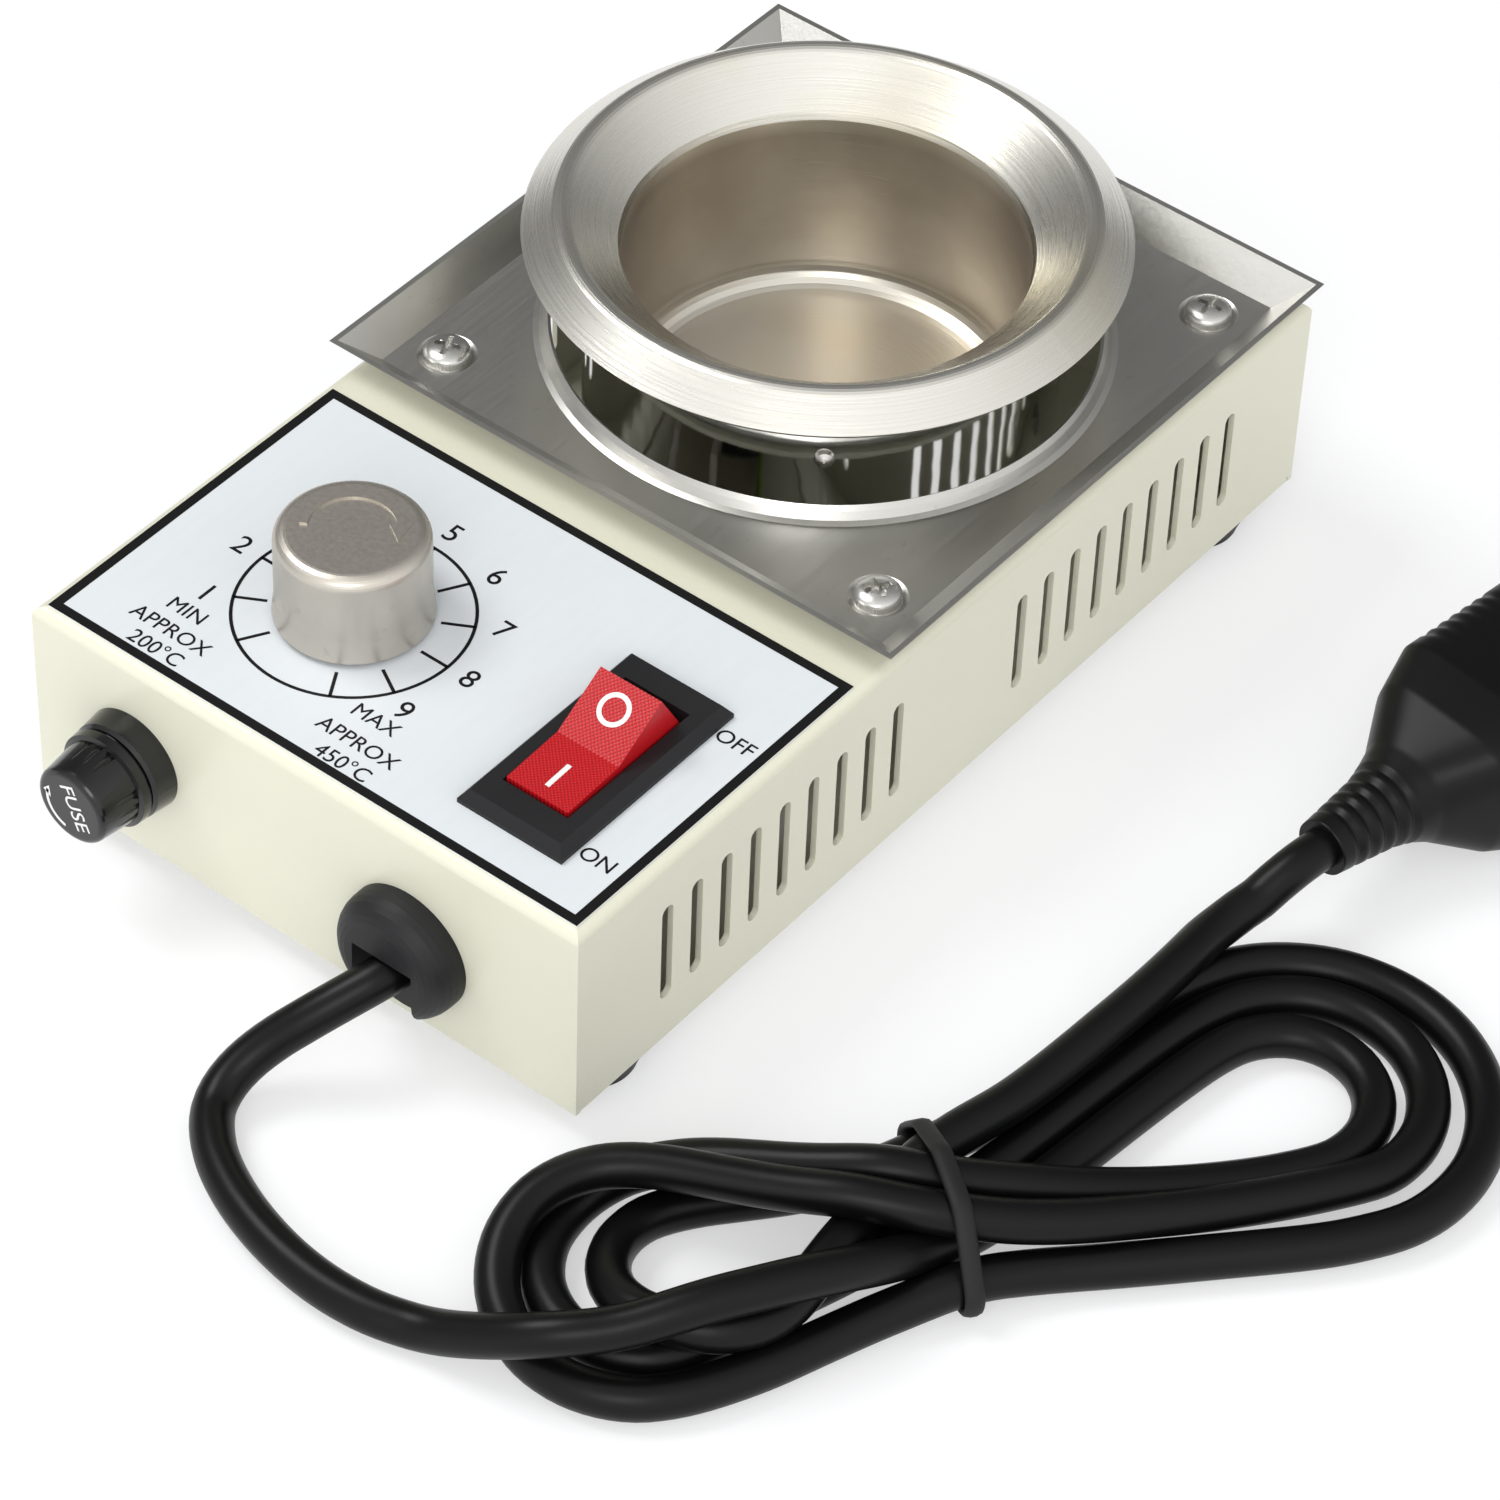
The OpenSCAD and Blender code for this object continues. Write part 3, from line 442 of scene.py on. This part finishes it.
class Finish:
    def __init__(self, name, **constants):
        self.material = bpy.data.materials.new(name)
        self.material.use_nodes = True
        self.tree = self.material.node_tree
        self.shader = self.tree.nodes["Principled BSDF"]
        for key, value in constants.items():
            self.shader.inputs[key.replace("_", " ").title().replace("Ior", "IOR")].default_value = value

    def node(self, kind, settings=None, inputs=None):
        made = self.tree.nodes.new(kind)
        for key, value in (settings or {}).items():
            if key == "stops":
                ramp = made.color_ramp.elements
                while len(ramp) < len(value):
                    ramp.new(1)
                for stop, (place, colour) in zip(ramp, value):
                    stop.position, stop.color = place, (*colour, 1)
            else:
                setattr(made, key, value)
        for key, value in (inputs or {}).items():
            if isinstance(value, Value):
                self.tree.links.new(value.socket, made.inputs[key])
            else:
                made.inputs[key].default_value = value
        return [Value(self, s) for s in made.outputs]

    def place(self):
        return self.node("ShaderNodeTexCoord")[3]

    def noise(self, scale, stretch=(1, 1, 1), detail=3.0, at=None):
        """Noise from 0 to 1; scale is in grains per metre, and stretch makes streaks."""
        inputs = {0: at or self.place(), 1: stretch}
        where = self.node("ShaderNodeVectorMath", {"operation": "MULTIPLY"}, inputs)[0]
        return self.node("ShaderNodeTexNoise", {}, {"Vector": where, "Scale": scale, "Detail": detail})[0]

    def mix(self, amount, one, two):
        colours = {k: (*v, 1) if isinstance(v, tuple) else v for k, v in ((6, one), (7, two))}
        return self.node("ShaderNodeMix", {"data_type": "RGBA"}, {0: amount, **colours})[2]

    def axes(self, at=None):
        return self.node("ShaderNodeSeparateXYZ", {}, {0: at or self.place()})

    def feed(self, **links):
        for key, value in links.items():
            self.tree.links.new(value.socket, self.shader.inputs[key.replace("_", " ")])
        return self

    def bump(self, height, depth):
        raised = self.node("ShaderNodeBump", {}, {"Height": height, "Distance": depth, "Strength": 1.0})[0]
        return self.feed(Normal=raised)


def srgb(red, green, blue):
    """A colour as a screen shows it, 0 to 255, as the shader's light values."""
    parts = (red, green, blue)
    return tuple(((c / 255 + 0.055) / 1.055) ** 2.4 if c > 10 else c / 255 / 12.92 for c in parts)


def darker(colour, share):
    return tuple(c * share for c in colour)


print("shader helpers ready")

# %% [markdown]
# The case is folded sheet with smooth cream enamel. Enamel has a faint orange peel, slightly uneven
# gloss, and a hint of grey where hands and heat have dulled it.


# %% Cream enamel
def cream_enamel():
    f = Finish("cream_enamel", ior=1.5, coat_roughness=0.12)
    cloud = f.noise(18)
    peel = f.noise(1400, detail=2.0)
    f.feed(Base_Color=f.mix(cloud * 0.7, srgb(223, 222, 203), srgb(213, 212, 192)))
    f.feed(Roughness=0.34 + cloud * 0.12, Coat_Weight=0.15 + cloud * 0.1)
    return f.bump(peel, 40 * MICRON)


def printed_film():
    f = Finish("printed_film", ior=1.45)
    fibre = f.noise(900, (1, 0.15, 1))
    f.feed(Base_Color=f.mix(fibre * 0.5, srgb(219, 224, 227), srgb(208, 213, 217)))
    f.feed(Roughness=0.38 + fibre * 0.12)
    return f.bump(fibre, 10 * MICRON)


print("painted finishes ready")

# %% [markdown]
# Moulded black parts differ by their gloss and grain: the rubber feet and relief are dull and dusty,
# the lead's sheath is satin, and the fuse carrier is polished. One recipe takes those sizes.


# %% Moulded blacks and coloured plastics
def moulded(name, colour, gloss_low, gloss_high, grain, depth, dust=0.25, coat=0.0, shine=0.3):
    """Roughness runs from gloss_low to gloss_high; grain is in specks per metre, and depth in metres."""
    f = Finish(name, ior=1.5, coat_weight=coat, coat_roughness=0.1, specular_ior_level=shine)
    speck = f.noise(grain)
    handled = f.noise(60)
    dusty = tuple(min(1, c * 1.4 + 0.006) for c in colour)
    f.feed(Base_Color=f.mix(handled * dust, colour, dusty))
    f.feed(Roughness=gloss_low + handled * (gloss_high - gloss_low))
    return f.bump(speck, depth)


PIMPLE_PITCH = 0.55 * MM


def red_rocker():
    f = Finish("red_rocker", ior=1.49, specular_ior_level=0.3, coat_weight=0.12, coat_roughness=0.15)
    x, y, _ = f.axes()
    per_metre = 2 * math.pi / PIMPLE_PITCH
    ribs = (x * per_metre).math("SINE") * (y * per_metre).math("SINE")
    # Painted shade and highlight: the red is darker in the pits between the pimples and lighter on their tops.
    f.feed(Base_Color=f.mix(ribs.between(-1, 1), srgb(148, 8, 16), srgb(206, 28, 36)))
    f.feed(Roughness=0.3 + f.noise(200) * 0.1)
    return f.bump(ribs, 20 * MICRON)


print("moulded finishes ready")

# %% [markdown]
# Bare metals are told apart by how they were worked. Rolled sheet has long fine lines one way, a spun
# rim has rings round its axis, and the shield is polished to a slightly wavy mirror.


# %% Metals
def rolled_steel(name, colour, low, high, stretch=(1, 0.04, 1), lines=2600):
    f = Finish(name, metallic=1.0)
    line = f.noise(lines, stretch)
    stain = f.noise(55)
    spots = f.noise(700).between(0.66, 0.74)
    f.feed(Base_Color=f.mix(stain * 0.5 + spots * 0.3, colour, darker(colour, 0.72)))
    f.feed(Roughness=low + line * (high - low) + stain * 0.08)
    return f.bump(line, 12 * MICRON)


CUP_R, CREST_H, TURN_SHARE = 24.8 * MM, 5.4 * MM, 0.6 * MM


def crucible_steel():
    """Spun steel: rings round the axis, and painted shade, a little heat-browned, inside below the throat, less on
    the floor.
    """
    f = Finish("crucible_steel", metallic=1.0)
    low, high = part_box("crucible")
    centre = (low + high) / 2
    about = f.node("ShaderNodeVectorMath", {"operation": "SUBTRACT"}, {0: f.place(), 1: tuple(centre)})[0]
    x, y, _ = f.axes(about)
    height = f.axes()[2]
    radius = (x * x + y * y).math("SQRT")
    around = x.math("ARCTAN2", y) * TURN_SHARE
    turned = f.node("ShaderNodeCombineXYZ", {}, {0: radius, 1: height, 2: around})[0]
    rings = f.noise(3800, at=turned)
    throat = high.z - CREST_H
    below_throat = 1 - height.between(throat - 3 * MM, throat)
    inside = below_throat * (1 - radius.between(CUP_R + 0.2 * MM, CUP_R + 0.6 * MM))
    floor = 1 - height.between(low.z + 2 * MM, low.z + 4 * MM)
    # Painted shade: the inner walls below the throat go to a grey with a slight brown of heat tint, and the floor
    # keeps most of the bright colour.
    painted_inner_shade = inside * (0.55 + f.noise(90) * 0.5) * (1 - floor * 0.85)
    yellowed = f.noise(30).between(0.5, 0.75) * 0.4
    rim = f.mix(yellowed, srgb(226, 224, 216), srgb(214, 196, 152))
    f.feed(Base_Color=f.mix(painted_inner_shade, rim, srgb(160, 150, 139)), Roughness=0.2 + rings * 0.16 + inside * 0.08)
    return f.bump(rings, 20 * MICRON)


def mirror_shield():
    f = Finish("mirror_shield", metallic=1.0)
    wave = f.noise(40)
    f.feed(Base_Color=f.mix(wave * 0.4, srgb(224, 224, 222), srgb(196, 196, 194)))
    f.feed(Roughness=0.05 + wave * 0.06)
    return f.bump(wave, 300 * MICRON)


print("metals ready")

# %% [markdown]
# Each solid takes the finish of its own slot in the record, so the table below is the whole paint shop.

# %% Give every solid its finish
steel = srgb(204, 203, 198)
finishes = {
    "cream_paint": cream_enamel(),
    "printed_film": printed_film(),
    "black_rubber": moulded("black_rubber", srgb(24, 24, 24), 0.5, 0.7, 1500, 30 * MICRON),
    "black_moulding": moulded("black_moulding", srgb(26, 26, 28), 0.4, 0.6, 1800, 20 * MICRON),
    "black_gloss": moulded("black_gloss", srgb(14, 14, 15), 0.14, 0.26, 900, 6 * MICRON, 0.1, 0.4),
    "black_cord": moulded("black_cord", srgb(8, 8, 9), 0.3, 0.42, 1100, 10 * MICRON, 0.15, shine=0.2),
    "red_rocker": red_rocker(),
    "zinc_steel": rolled_steel("zinc_steel", srgb(196, 198, 200), 0.3, 0.45),
    "stainless_screws": rolled_steel("stainless_screws", srgb(214, 213, 209), 0.18, 0.32, (1, 1, 1), 1500),
    "satin_knob_steel": rolled_steel("satin_knob_steel", srgb(206, 200, 190), 0.3, 0.42, (1, 1, 1), 1800),
    "tray_steel": rolled_steel("tray_steel", steel, 0.2, 0.36),
    "crucible_steel": crucible_steel(),
    "mirror_shield": mirror_shield(),
    "nickel": rolled_steel("nickel", srgb(222, 218, 210), 0.1, 0.2, (1, 1, 1), 1200),
    "brass": rolled_steel("brass", srgb(222, 192, 120), 0.18, 0.34, (1, 1, 1), 1600),
    "clear_glass": moulded("clear_glass", srgb(236, 244, 244), 0.02, 0.08, 500, 2 * MICRON, 0.05, 0.5),
    "mica_band": moulded("mica_band", srgb(196, 182, 158), 0.4, 0.65, 700, 40 * MICRON, 0.5),
    "ceramic_felt": moulded("ceramic_felt", srgb(234, 232, 224), 0.8, 0.95, 1600, 150 * MICRON, 0.1),
    "board_laminate": moulded("board_laminate", srgb(172, 138, 94), 0.45, 0.6, 900, 20 * MICRON, 0.4),
    "yellow_film": moulded("yellow_film", srgb(232, 204, 96), 0.25, 0.4, 900, 10 * MICRON, 0.1, 0.3),
    "brown_wire": moulded("brown_wire", srgb(128, 88, 60), 0.4, 0.55, 900, 10 * MICRON, 0.1),
    "blue_wire": moulded("blue_wire", srgb(62, 110, 178), 0.4, 0.55, 900, 10 * MICRON, 0.1),
    "green_wire": moulded("green_wire", srgb(148, 186, 78), 0.4, 0.55, 900, 10 * MICRON, 0.1),
    "white_sleeve": moulded("white_sleeve", srgb(236, 234, 228), 0.6, 0.85, 2200, 80 * MICRON, 0.1),
}


def dress(piece, slot_name):
    piece.data.materials.clear()
    piece.data.materials.append(finishes[slot_name].material)


node_slot = {part["node"]: part["material_slot"] for part in frame["record"]["subparts"]}
for name, solid in nodes.items():
    if name in node_slot:
        dress(solid, node_slot[name])
dress(mains_lead, "black_cord")
dress(moulded_plug, "black_cord")
dress(rubber_ring, "black_rubber")
print("solids with a finish:", len(node_slot), "without:", sorted(set(nodes) - set(node_slot)))

# %% [markdown]
# ## The printed panel
# The print is thin ink on the film: a black frame, a dial ring with a spoke to each number, and the
# words. Flat shapes a few hundredths of a millimetre thick print it sharply at any distance, which a
# painted picture would not. Each shape is an outline, pushed up into a thin prism.


# %% Ink shapes
label_low, label_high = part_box("panel_label")
face_z = label_high.z
INK_T = 0.04 * MM
knob_low, knob_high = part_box("knob_cap")
knob_at = (knob_low + knob_high) / 2


def prism(made, points, to_frame, thickness):
    """A closed flat outline, given in millimetres, as a thin prism in the mesh being made."""
    base = [made.verts.new(to_frame @ Vector((x * MM, y * MM, 0))) for x, y in points]
    top = [made.verts.new(to_frame @ Vector((x * MM, y * MM, thickness))) for x, y in points]
    made.faces.new(top)
    made.faces.new(list(reversed(base)))
    for k in range(len(points)):
        n = (k + 1) % len(points)
        made.faces.new((base[k], base[n], top[n], top[k]))


def arc_points(radius, start, end, count):
    return [(radius * math.cos(a), radius * math.sin(a)) for a in np.radians(np.linspace(start, end, count))]


def band(made, inner, outer, start, end, to_frame, thickness, count=64):
    """A stretch of a flat ring, made of short prisms that share their ends' places."""
    turns = np.linspace(start, end, count)
    for a, b in zip(turns, turns[1:]):
        prism(made, arc_points(inner, b, a, 2) + arc_points(outer, a, b, 2), to_frame, thickness)


def stroke(made, one, two, width, to_frame, thickness):
    way = (Vector(two) - Vector(one)).normalized() * width / 2
    side = Vector((-way.y, way.x))
    corners = [Vector(p) + side * s for p, s in ((one, -1), (two, -1), (two, 1), (one, 1))]
    prism(made, corners, to_frame, thickness)


CAP_SHARE = 0.7


def letters(made, words, size, to_frame, thickness):
    """Words in the built-in sans face, centred on the origin of to_frame; size is the cap height."""
    curve = bpy.data.curves.new("words", "FONT")
    curve.body, curve.size = words, size * MM / CAP_SHARE
    curve.align_x, curve.align_y = "CENTER", "CENTER"
    curve.extrude = thickness / 2
    curve.resolution_u = 4
    shape = bpy.data.objects.new("words", curve)
    bpy.context.scene.collection.objects.link(shape)
    depsgraph = bpy.context.evaluated_depsgraph_get()
    mesh = bpy.data.meshes.new_from_object(shape.evaluated_get(depsgraph))
    mesh.transform(to_frame @ Matrix.Translation((0, 0, thickness / 2)))
    made.from_mesh(mesh)
    bpy.data.objects.remove(shape)
    bpy.data.meshes.remove(mesh)


WELD = 1e-6


def finish_piece(made, name, body):
    bmesh.ops.remove_doubles(made, verts=made.verts, dist=WELD)
    bmesh.ops.recalc_face_normals(made, faces=made.faces)
    mesh = bpy.data.meshes.new(name)
    made.to_mesh(mesh)
    made.free()
    return add_object(name, mesh, body)


def ink(name, colour):
    f = Finish(name, ior=1.45, specular_ior_level=0.25)
    worn = f.noise(500)
    faded = tuple(min(1, c + 0.006) for c in colour)
    return f.feed(Base_Color=f.mix(worn * 0.3, colour, faded), Roughness=0.4 + worn * 0.2)


black_ink = ink("black_ink", srgb(12, 12, 13))
white_ink = ink("white_ink", srgb(232, 232, 230))

# %% [markdown]
# Numbers 1 to 9 stand round the dial a twelfth of a turn apart, from below left, over the top, to below
# right. They all stand upright, so that they read from the front of the case.

# %% Print the panel
FRAME_W, LINE_W, SPOKE_FROM, DIAL_R, NUMBER_R = 1.25, 0.42, 10.2, 14.2, 17.4
NUMBER_H, WORD_H = 2.9, 2.1
NUMBER_TURN, NUMBER_STEP, BOTTOM = 240, 30, -90
print_mesh = bmesh.new()
on_label = Matrix.Translation((0, 0, face_z))
x0, y0, x1, y1 = (c / MM for c in (label_low.x, label_low.y, label_high.x, label_high.y))
corners = [Vector(corner) for corner in ((x0, y0), (x1, y0), (x1, y1), (x0, y1))]
for one, two in zip(corners, corners[1:] + corners[:1]):
    way = (two - one).normalized()
    inward = Vector((-way.y, way.x)) * FRAME_W
    side = [one, two, two + inward - way * FRAME_W, one + inward + way * FRAME_W]
    prism(print_mesh, side, on_label, INK_T)
at_dial = Matrix.Translation((knob_at.x, knob_at.y, face_z))
band(print_mesh, DIAL_R - LINE_W / 2, DIAL_R + LINE_W / 2, 0, 360, at_dial, INK_T, 97)
for turn in range(-150, 181, NUMBER_STEP):
    if turn != BOTTOM:
        a = math.radians(turn)
        way = Vector((math.cos(a), math.sin(a)))
        stroke(print_mesh, way * SPOKE_FROM, way * DIAL_R, LINE_W, at_dial, INK_T)
for number in range(1, 10):
    a = math.radians(NUMBER_TURN - NUMBER_STEP * number)
    spot = Matrix.Translation((NUMBER_R * math.cos(a) * MM, NUMBER_R * math.sin(a) * MM, 0))
    letters(print_mesh, str(number), NUMBER_H, at_dial @ spot, INK_T)
WORDS = [
    ("MIN", -26.7, 10.9), ("APPROX", -26, 7.3), ("200\u00b0C", -25.3, 4),
    ("MAX", 1.6, 11.4), ("APPROX", 2.5, 7.3), ("450\u00b0C", 3.3, 3.8),
    ("ON", 34.9, 10.6), ("OFF", 35, 34.9),
]
for words, x, y in WORDS:
    spot = Matrix.Translation((x * MM, (y + front_y) * MM, face_z))
    letters(print_mesh, words, WORD_H, spot, INK_T)
panel_print = finish_piece(print_mesh, "panel_print", "base")
panel_print.data.materials.append(black_ink.material)
print("ink faces:", len(panel_print.data.polygons))

# %% [markdown]
# The knob is a pressed cap with an arrow raised on its top that says which way is more. The arrow is an
# arc with a pointed head; it belongs to the knob's body and turns with it.

# %% Raised arrow on the knob
ARROW_IN, ARROW_OUT, ARROW_UP = 5.2, 6.1, 0.25 * MM
ARROW_FROM, ARROW_TO, ARROW_TIP = 212, 48, 18
ARROW_BARB, ARROW_SUNK = 0.9, 0.02 * MM
arrow_mesh = bmesh.new()
on_knob = Matrix.Translation((knob_at.x, knob_at.y, knob_high.z - ARROW_SUNK))
band(arrow_mesh, ARROW_IN, ARROW_OUT, ARROW_FROM, ARROW_TO, on_knob, ARROW_UP, 40)
tip = (ARROW_IN + ARROW_OUT) / 2
corners = ((ARROW_IN - ARROW_BARB, ARROW_TO), (tip, ARROW_TIP), (ARROW_OUT + ARROW_BARB, ARROW_TO))
head = [(r * math.cos(math.radians(a)), r * math.sin(math.radians(a))) for r, a in corners]
prism(arrow_mesh, head, on_knob, ARROW_UP)
knob_arrow = finish_piece(arrow_mesh, "knob_arrow", "knob")
dress(knob_arrow, "satin_knob_steel")
print("knob arrow at height", round(knob_high.z, 4))

# %% [markdown]
# The rocker leans back with its front end pressed. Its two upper faces slope to the middle, so each
# mark gets the place and tilt of its own face: the rocker's tilt, and then the face's slope.

# %% Marks on the rocker
joints = {j["name"]: j for j in frame["joints"]}
pivot = Vector(joints["rocker_tilt"]["pos_m"])
ROCKER_TILT = math.radians(17)
ROCKER_END, ROCKER_RISE, ROCKER_DIP = 8.6, 7.6, 2.2
MARK_LIFT = 0.01
RING_MARK_IN, RING_MARK_OUT, RING_MARK_Y = 1.5, 2.1, 5.2
BAR_HALF, BAR_W, BAR_Y = 2, 0.65, -5
slope = math.atan2(ROCKER_DIP, ROCKER_END)
leaning = Matrix.Translation(pivot) @ Matrix.Rotation(ROCKER_TILT, 4, "X")


def on_rocker(y, tilt):
    """A frame on the rocker's upper face at y from its middle."""
    z = ROCKER_RISE - ROCKER_DIP + abs(y) / ROCKER_END * ROCKER_DIP
    return leaning @ Matrix.Translation((0, y * MM, (z + MARK_LIFT) * MM)) @ Matrix.Rotation(tilt, 4, "X")


marks = bmesh.new()
band(marks, RING_MARK_IN, RING_MARK_OUT, 0, 360, on_rocker(RING_MARK_Y, slope), INK_T, 49)
stroke(marks, (0, -BAR_HALF), (0, BAR_HALF), BAR_W, on_rocker(BAR_Y, -slope), INK_T)
rocker_marks = finish_piece(marks, "rocker_marks", "rocker")
rocker_marks.data.materials.append(white_ink.material)
print("rocker pivot", tuple(round(v, 4) for v in pivot))

# %% [markdown]
# ## Tray screws
# A pan head is a low dome on a short cylinder. The cross recess is cut with a straight cross as wide
# as the driver's tip, and all four screws come from one outline.

# %% Screws with cross recesses
HEAD_R, HEAD_H, SHANK_R, SHANK_L = 2.9, 2.0, 1.45, 6
EDGE_SHARE, DOME_SHARE = 0.45, 0.55
CROSS_REACH, CROSS_HALF, CROSS_FLOOR, CROSS_UP = 1.6, 0.33, 0.8, 2
DOME_FACE = 0.4 * MM * MM
screw_low, screw_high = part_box("tray_screws")


def revolve(made, outline, to_frame, count=40):
    """A closed outline of (radius, height) turned round the z axis; ends on the axis are single points."""
    rings = []
    for radius, height in outline:
        spots = arc_points(radius, 0, 360 - 360 / count, count) if radius else [(0, 0)]
        rings.append([made.verts.new(to_frame @ Vector((x * MM, y * MM, height * MM))) for x, y in spots])
    for lower, upper in zip(rings, rings[1:]):
        for k in range(count):
            n = (k + 1) % count
            below, above = len(lower), len(upper)
            loop = [lower[k % below], lower[n % below], upper[n % above], upper[k % above]]
            made.faces.new(list(dict.fromkeys(loop)))


def pan_head():
    turns = np.linspace(0, math.pi / 2, 8)[:-1]
    dome = [(HEAD_R * math.cos(a), HEAD_H * (EDGE_SHARE + DOME_SHARE * math.sin(a))) for a in turns]
    return [(0, -SHANK_L), (SHANK_R, -SHANK_L), (SHANK_R, 0), (HEAD_R, 0), *dome, (0, HEAD_H)]


def cross_outline(reach, half):
    """A cross as one outline: the same three corners in each quarter."""
    quarter = [(reach, -half), (reach, half), (half, half)]
    quarters = ((1, 0), (0, 1), (-1, 0), (0, -1))
    return [(x * c - y * s, x * s + y * c) for c, s in quarters for x, y in quarter]


def cut(piece, cutter):
    tool = piece.modifiers.new("recess", "BOOLEAN")
    tool.operation, tool.solver, tool.object = "DIFFERENCE", "EXACT", cutter
    depsgraph = bpy.context.evaluated_depsgraph_get()
    result = bpy.data.meshes.new_from_object(piece.evaluated_get(depsgraph))
    piece.modifiers.clear()
    piece.data = result
    bpy.data.objects.remove(cutter)


# Where each column and row of screws is, and how far its crosses are turned.
columns = ((screw_low.x + HEAD_R * MM, 20), (screw_high.x - HEAD_R * MM, 65))
rows = ((screw_low.y + HEAD_R * MM, 0), (screw_high.y - HEAD_R * MM, 30))
heads, crosses = bmesh.new(), bmesh.new()
for x, turn in columns:
    for y, more in rows:
        seat = Matrix.Translation((x, y, screw_high.z - HEAD_H * MM))
        revolve(heads, pan_head(), seat)
        raised = seat @ Matrix.Translation((0, 0, CROSS_FLOOR * MM))
        turned = raised @ Matrix.Rotation(math.radians(turn + more), 4, "Z")
        prism(crosses, cross_outline(CROSS_REACH, CROSS_HALF), turned, CROSS_UP * MM)
cross_piece = finish_piece(crosses, "recess_tool", "base")
screws = finish_piece(heads, "pan_screws", "base")
cut(screws, cross_piece)
for face in screws.data.polygons:
    face.use_smooth = len(face.vertices) == 4 and face.area < DOME_FACE
dress(screws, "stainless_screws")
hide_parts("tray_screws")
print("screws cut, faces:", len(screws.data.polygons))

# %% [markdown]
# ## The fuse carrier's face
# The word FUSE and a curved arrow are painted white in the end of the cap. The cap turns, so both ride
# with it, and they are tilted as the cap was left when it was last closed.

# %% Lettering on the fuse cap
CAP_TURN, CAP_SUNK = math.radians(-67), 0.01 * MM
CAP_WORD_H, CAP_WORD_UP = 2.2, 0.7
CURVE_IN, CURVE_OUT, CURVE_FROM, CURVE_TO = 3.35, 3.75, 165, 255
CURVE_HEAD = [(-3.0, -0.1), (-4.1, 0.7), (-3.2, 1.6)]
cap_low, cap_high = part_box("fuse_cap")
cap_at = (cap_low + cap_high) / 2
cap_at.y = cap_low.y + CAP_SUNK
cap_face = Matrix.Translation(cap_at) @ Matrix.Rotation(math.pi / 2, 4, "X")
word_at = cap_face @ Matrix.Rotation(CAP_TURN, 4, "Z") @ Matrix.Translation((0, CAP_WORD_UP * MM, 0))
cap_print = bmesh.new()
letters(cap_print, "FUSE", CAP_WORD_H, word_at, INK_T)
band(cap_print, CURVE_IN, CURVE_OUT, CURVE_FROM, CURVE_TO, cap_face, INK_T, 20)
prism(cap_print, CURVE_HEAD, cap_face, INK_T)
fuse_print = finish_piece(cap_print, "fuse_cap_print", "fuse_cap")
fuse_print.data.materials.append(white_ink.material)
print("fuse cap faces the front at y", round(cap_low.y, 4))

# %% [markdown]
# ## Bench and light
# A plain pale bench, a soft lamp overhead on the left, a weaker one in front, and a pale room. Diffuse
# colours come out about as written. Where it is looked at or mirrored, the bench gives half of its white
# itself, so that it stays pale round the object and still takes its shadow. The room is bright on the
# front right side and dim on the back left, because steel shows its form by what it mirrors, and an
# even white room would flatten it.

# %% Bench, lamps and room
BENCH_HALF, BENCH_T = 4000, 10 * MM
GLOW, ROOM_DIM, ROOM_BRIGHT, ROOM_EDGE = 0.5, 0.2, 1.3, 0.95
CAMERA_RAY, GLOSSY_RAY, TRANSMISSION_RAY = 0, 3, 6
bench_outline = [(x * BENCH_HALF, y * BENCH_HALF) for x, y in ((-1, -1), (1, -1), (1, 1), (-1, 1))]
bench_mesh = bmesh.new()
prism(bench_mesh, bench_outline, Matrix.Translation((0, 0, -BENCH_T)), BENCH_T)
bench_data = bpy.data.meshes.new("bench")
bench_mesh.to_mesh(bench_data)
bench_mesh.free()
bench = bpy.data.objects.new("bench", bench_data)
bpy.context.scene.collection.objects.link(bench)
bench_finish = Finish("bench_paper", roughness=0.9)
paper = bench_finish.mix(bench_finish.noise(40) * 0.3, srgb(247, 248, 250), srgb(244, 245, 248))
rays = bench_finish.node("ShaderNodeLightPath")
looked_at = (rays[CAMERA_RAY] + rays[GLOSSY_RAY] + rays[TRANSMISSION_RAY]).between(0, 1)
bench_finish.feed(Base_Color=bench_finish.mix(looked_at * GLOW, paper, (0.0, 0.0, 0.0)))
bench_finish.feed(Emission_Color=bench_finish.mix(looked_at, (0.0, 0.0, 0.0), (GLOW, GLOW, GLOW)))
bench_finish.shader.inputs["Emission Strength"].default_value = 1.0
bench_data.materials.append(bench_finish.material)


def soft_lamp(name, at, size, power, aim=(0, 0, 0.02)):
    data = bpy.data.lights.new(name, "AREA")
    data.shape, data.size, data.energy = "SQUARE", size, power
    lamp = bpy.data.objects.new(name, data)
    bpy.context.scene.collection.objects.link(lamp)
    lamp.location = at
    lamp.rotation_euler = (Vector(aim) - Vector(at)).to_track_quat("-Z", "Y").to_euler()


soft_lamp("key_lamp", (-0.6, -0.2, 1.05), 0.5, 6)
soft_lamp("fill_lamp", (0.5, -0.9, 0.8), 0.5, 3)
room = bpy.data.worlds.new("room")
bpy.context.scene.world = room
room.use_nodes = True


class Room(Finish):
    """The world's shader, with the same helpers as a material."""

    def __init__(self, world):
        self.tree = world.node_tree
        self.shader = self.tree.nodes["Background"]


light = Room(room)
east, north, _ = light.axes(light.node("ShaderNodeTexCoord")[0])
facing = (east - north).between(-ROOM_EDGE, ROOM_EDGE)
light.feed(Color=light.mix(facing, (ROOM_DIM,) * 3, (ROOM_BRIGHT,) * 3))
bpy.context.scene.view_settings.view_transform = "Standard"
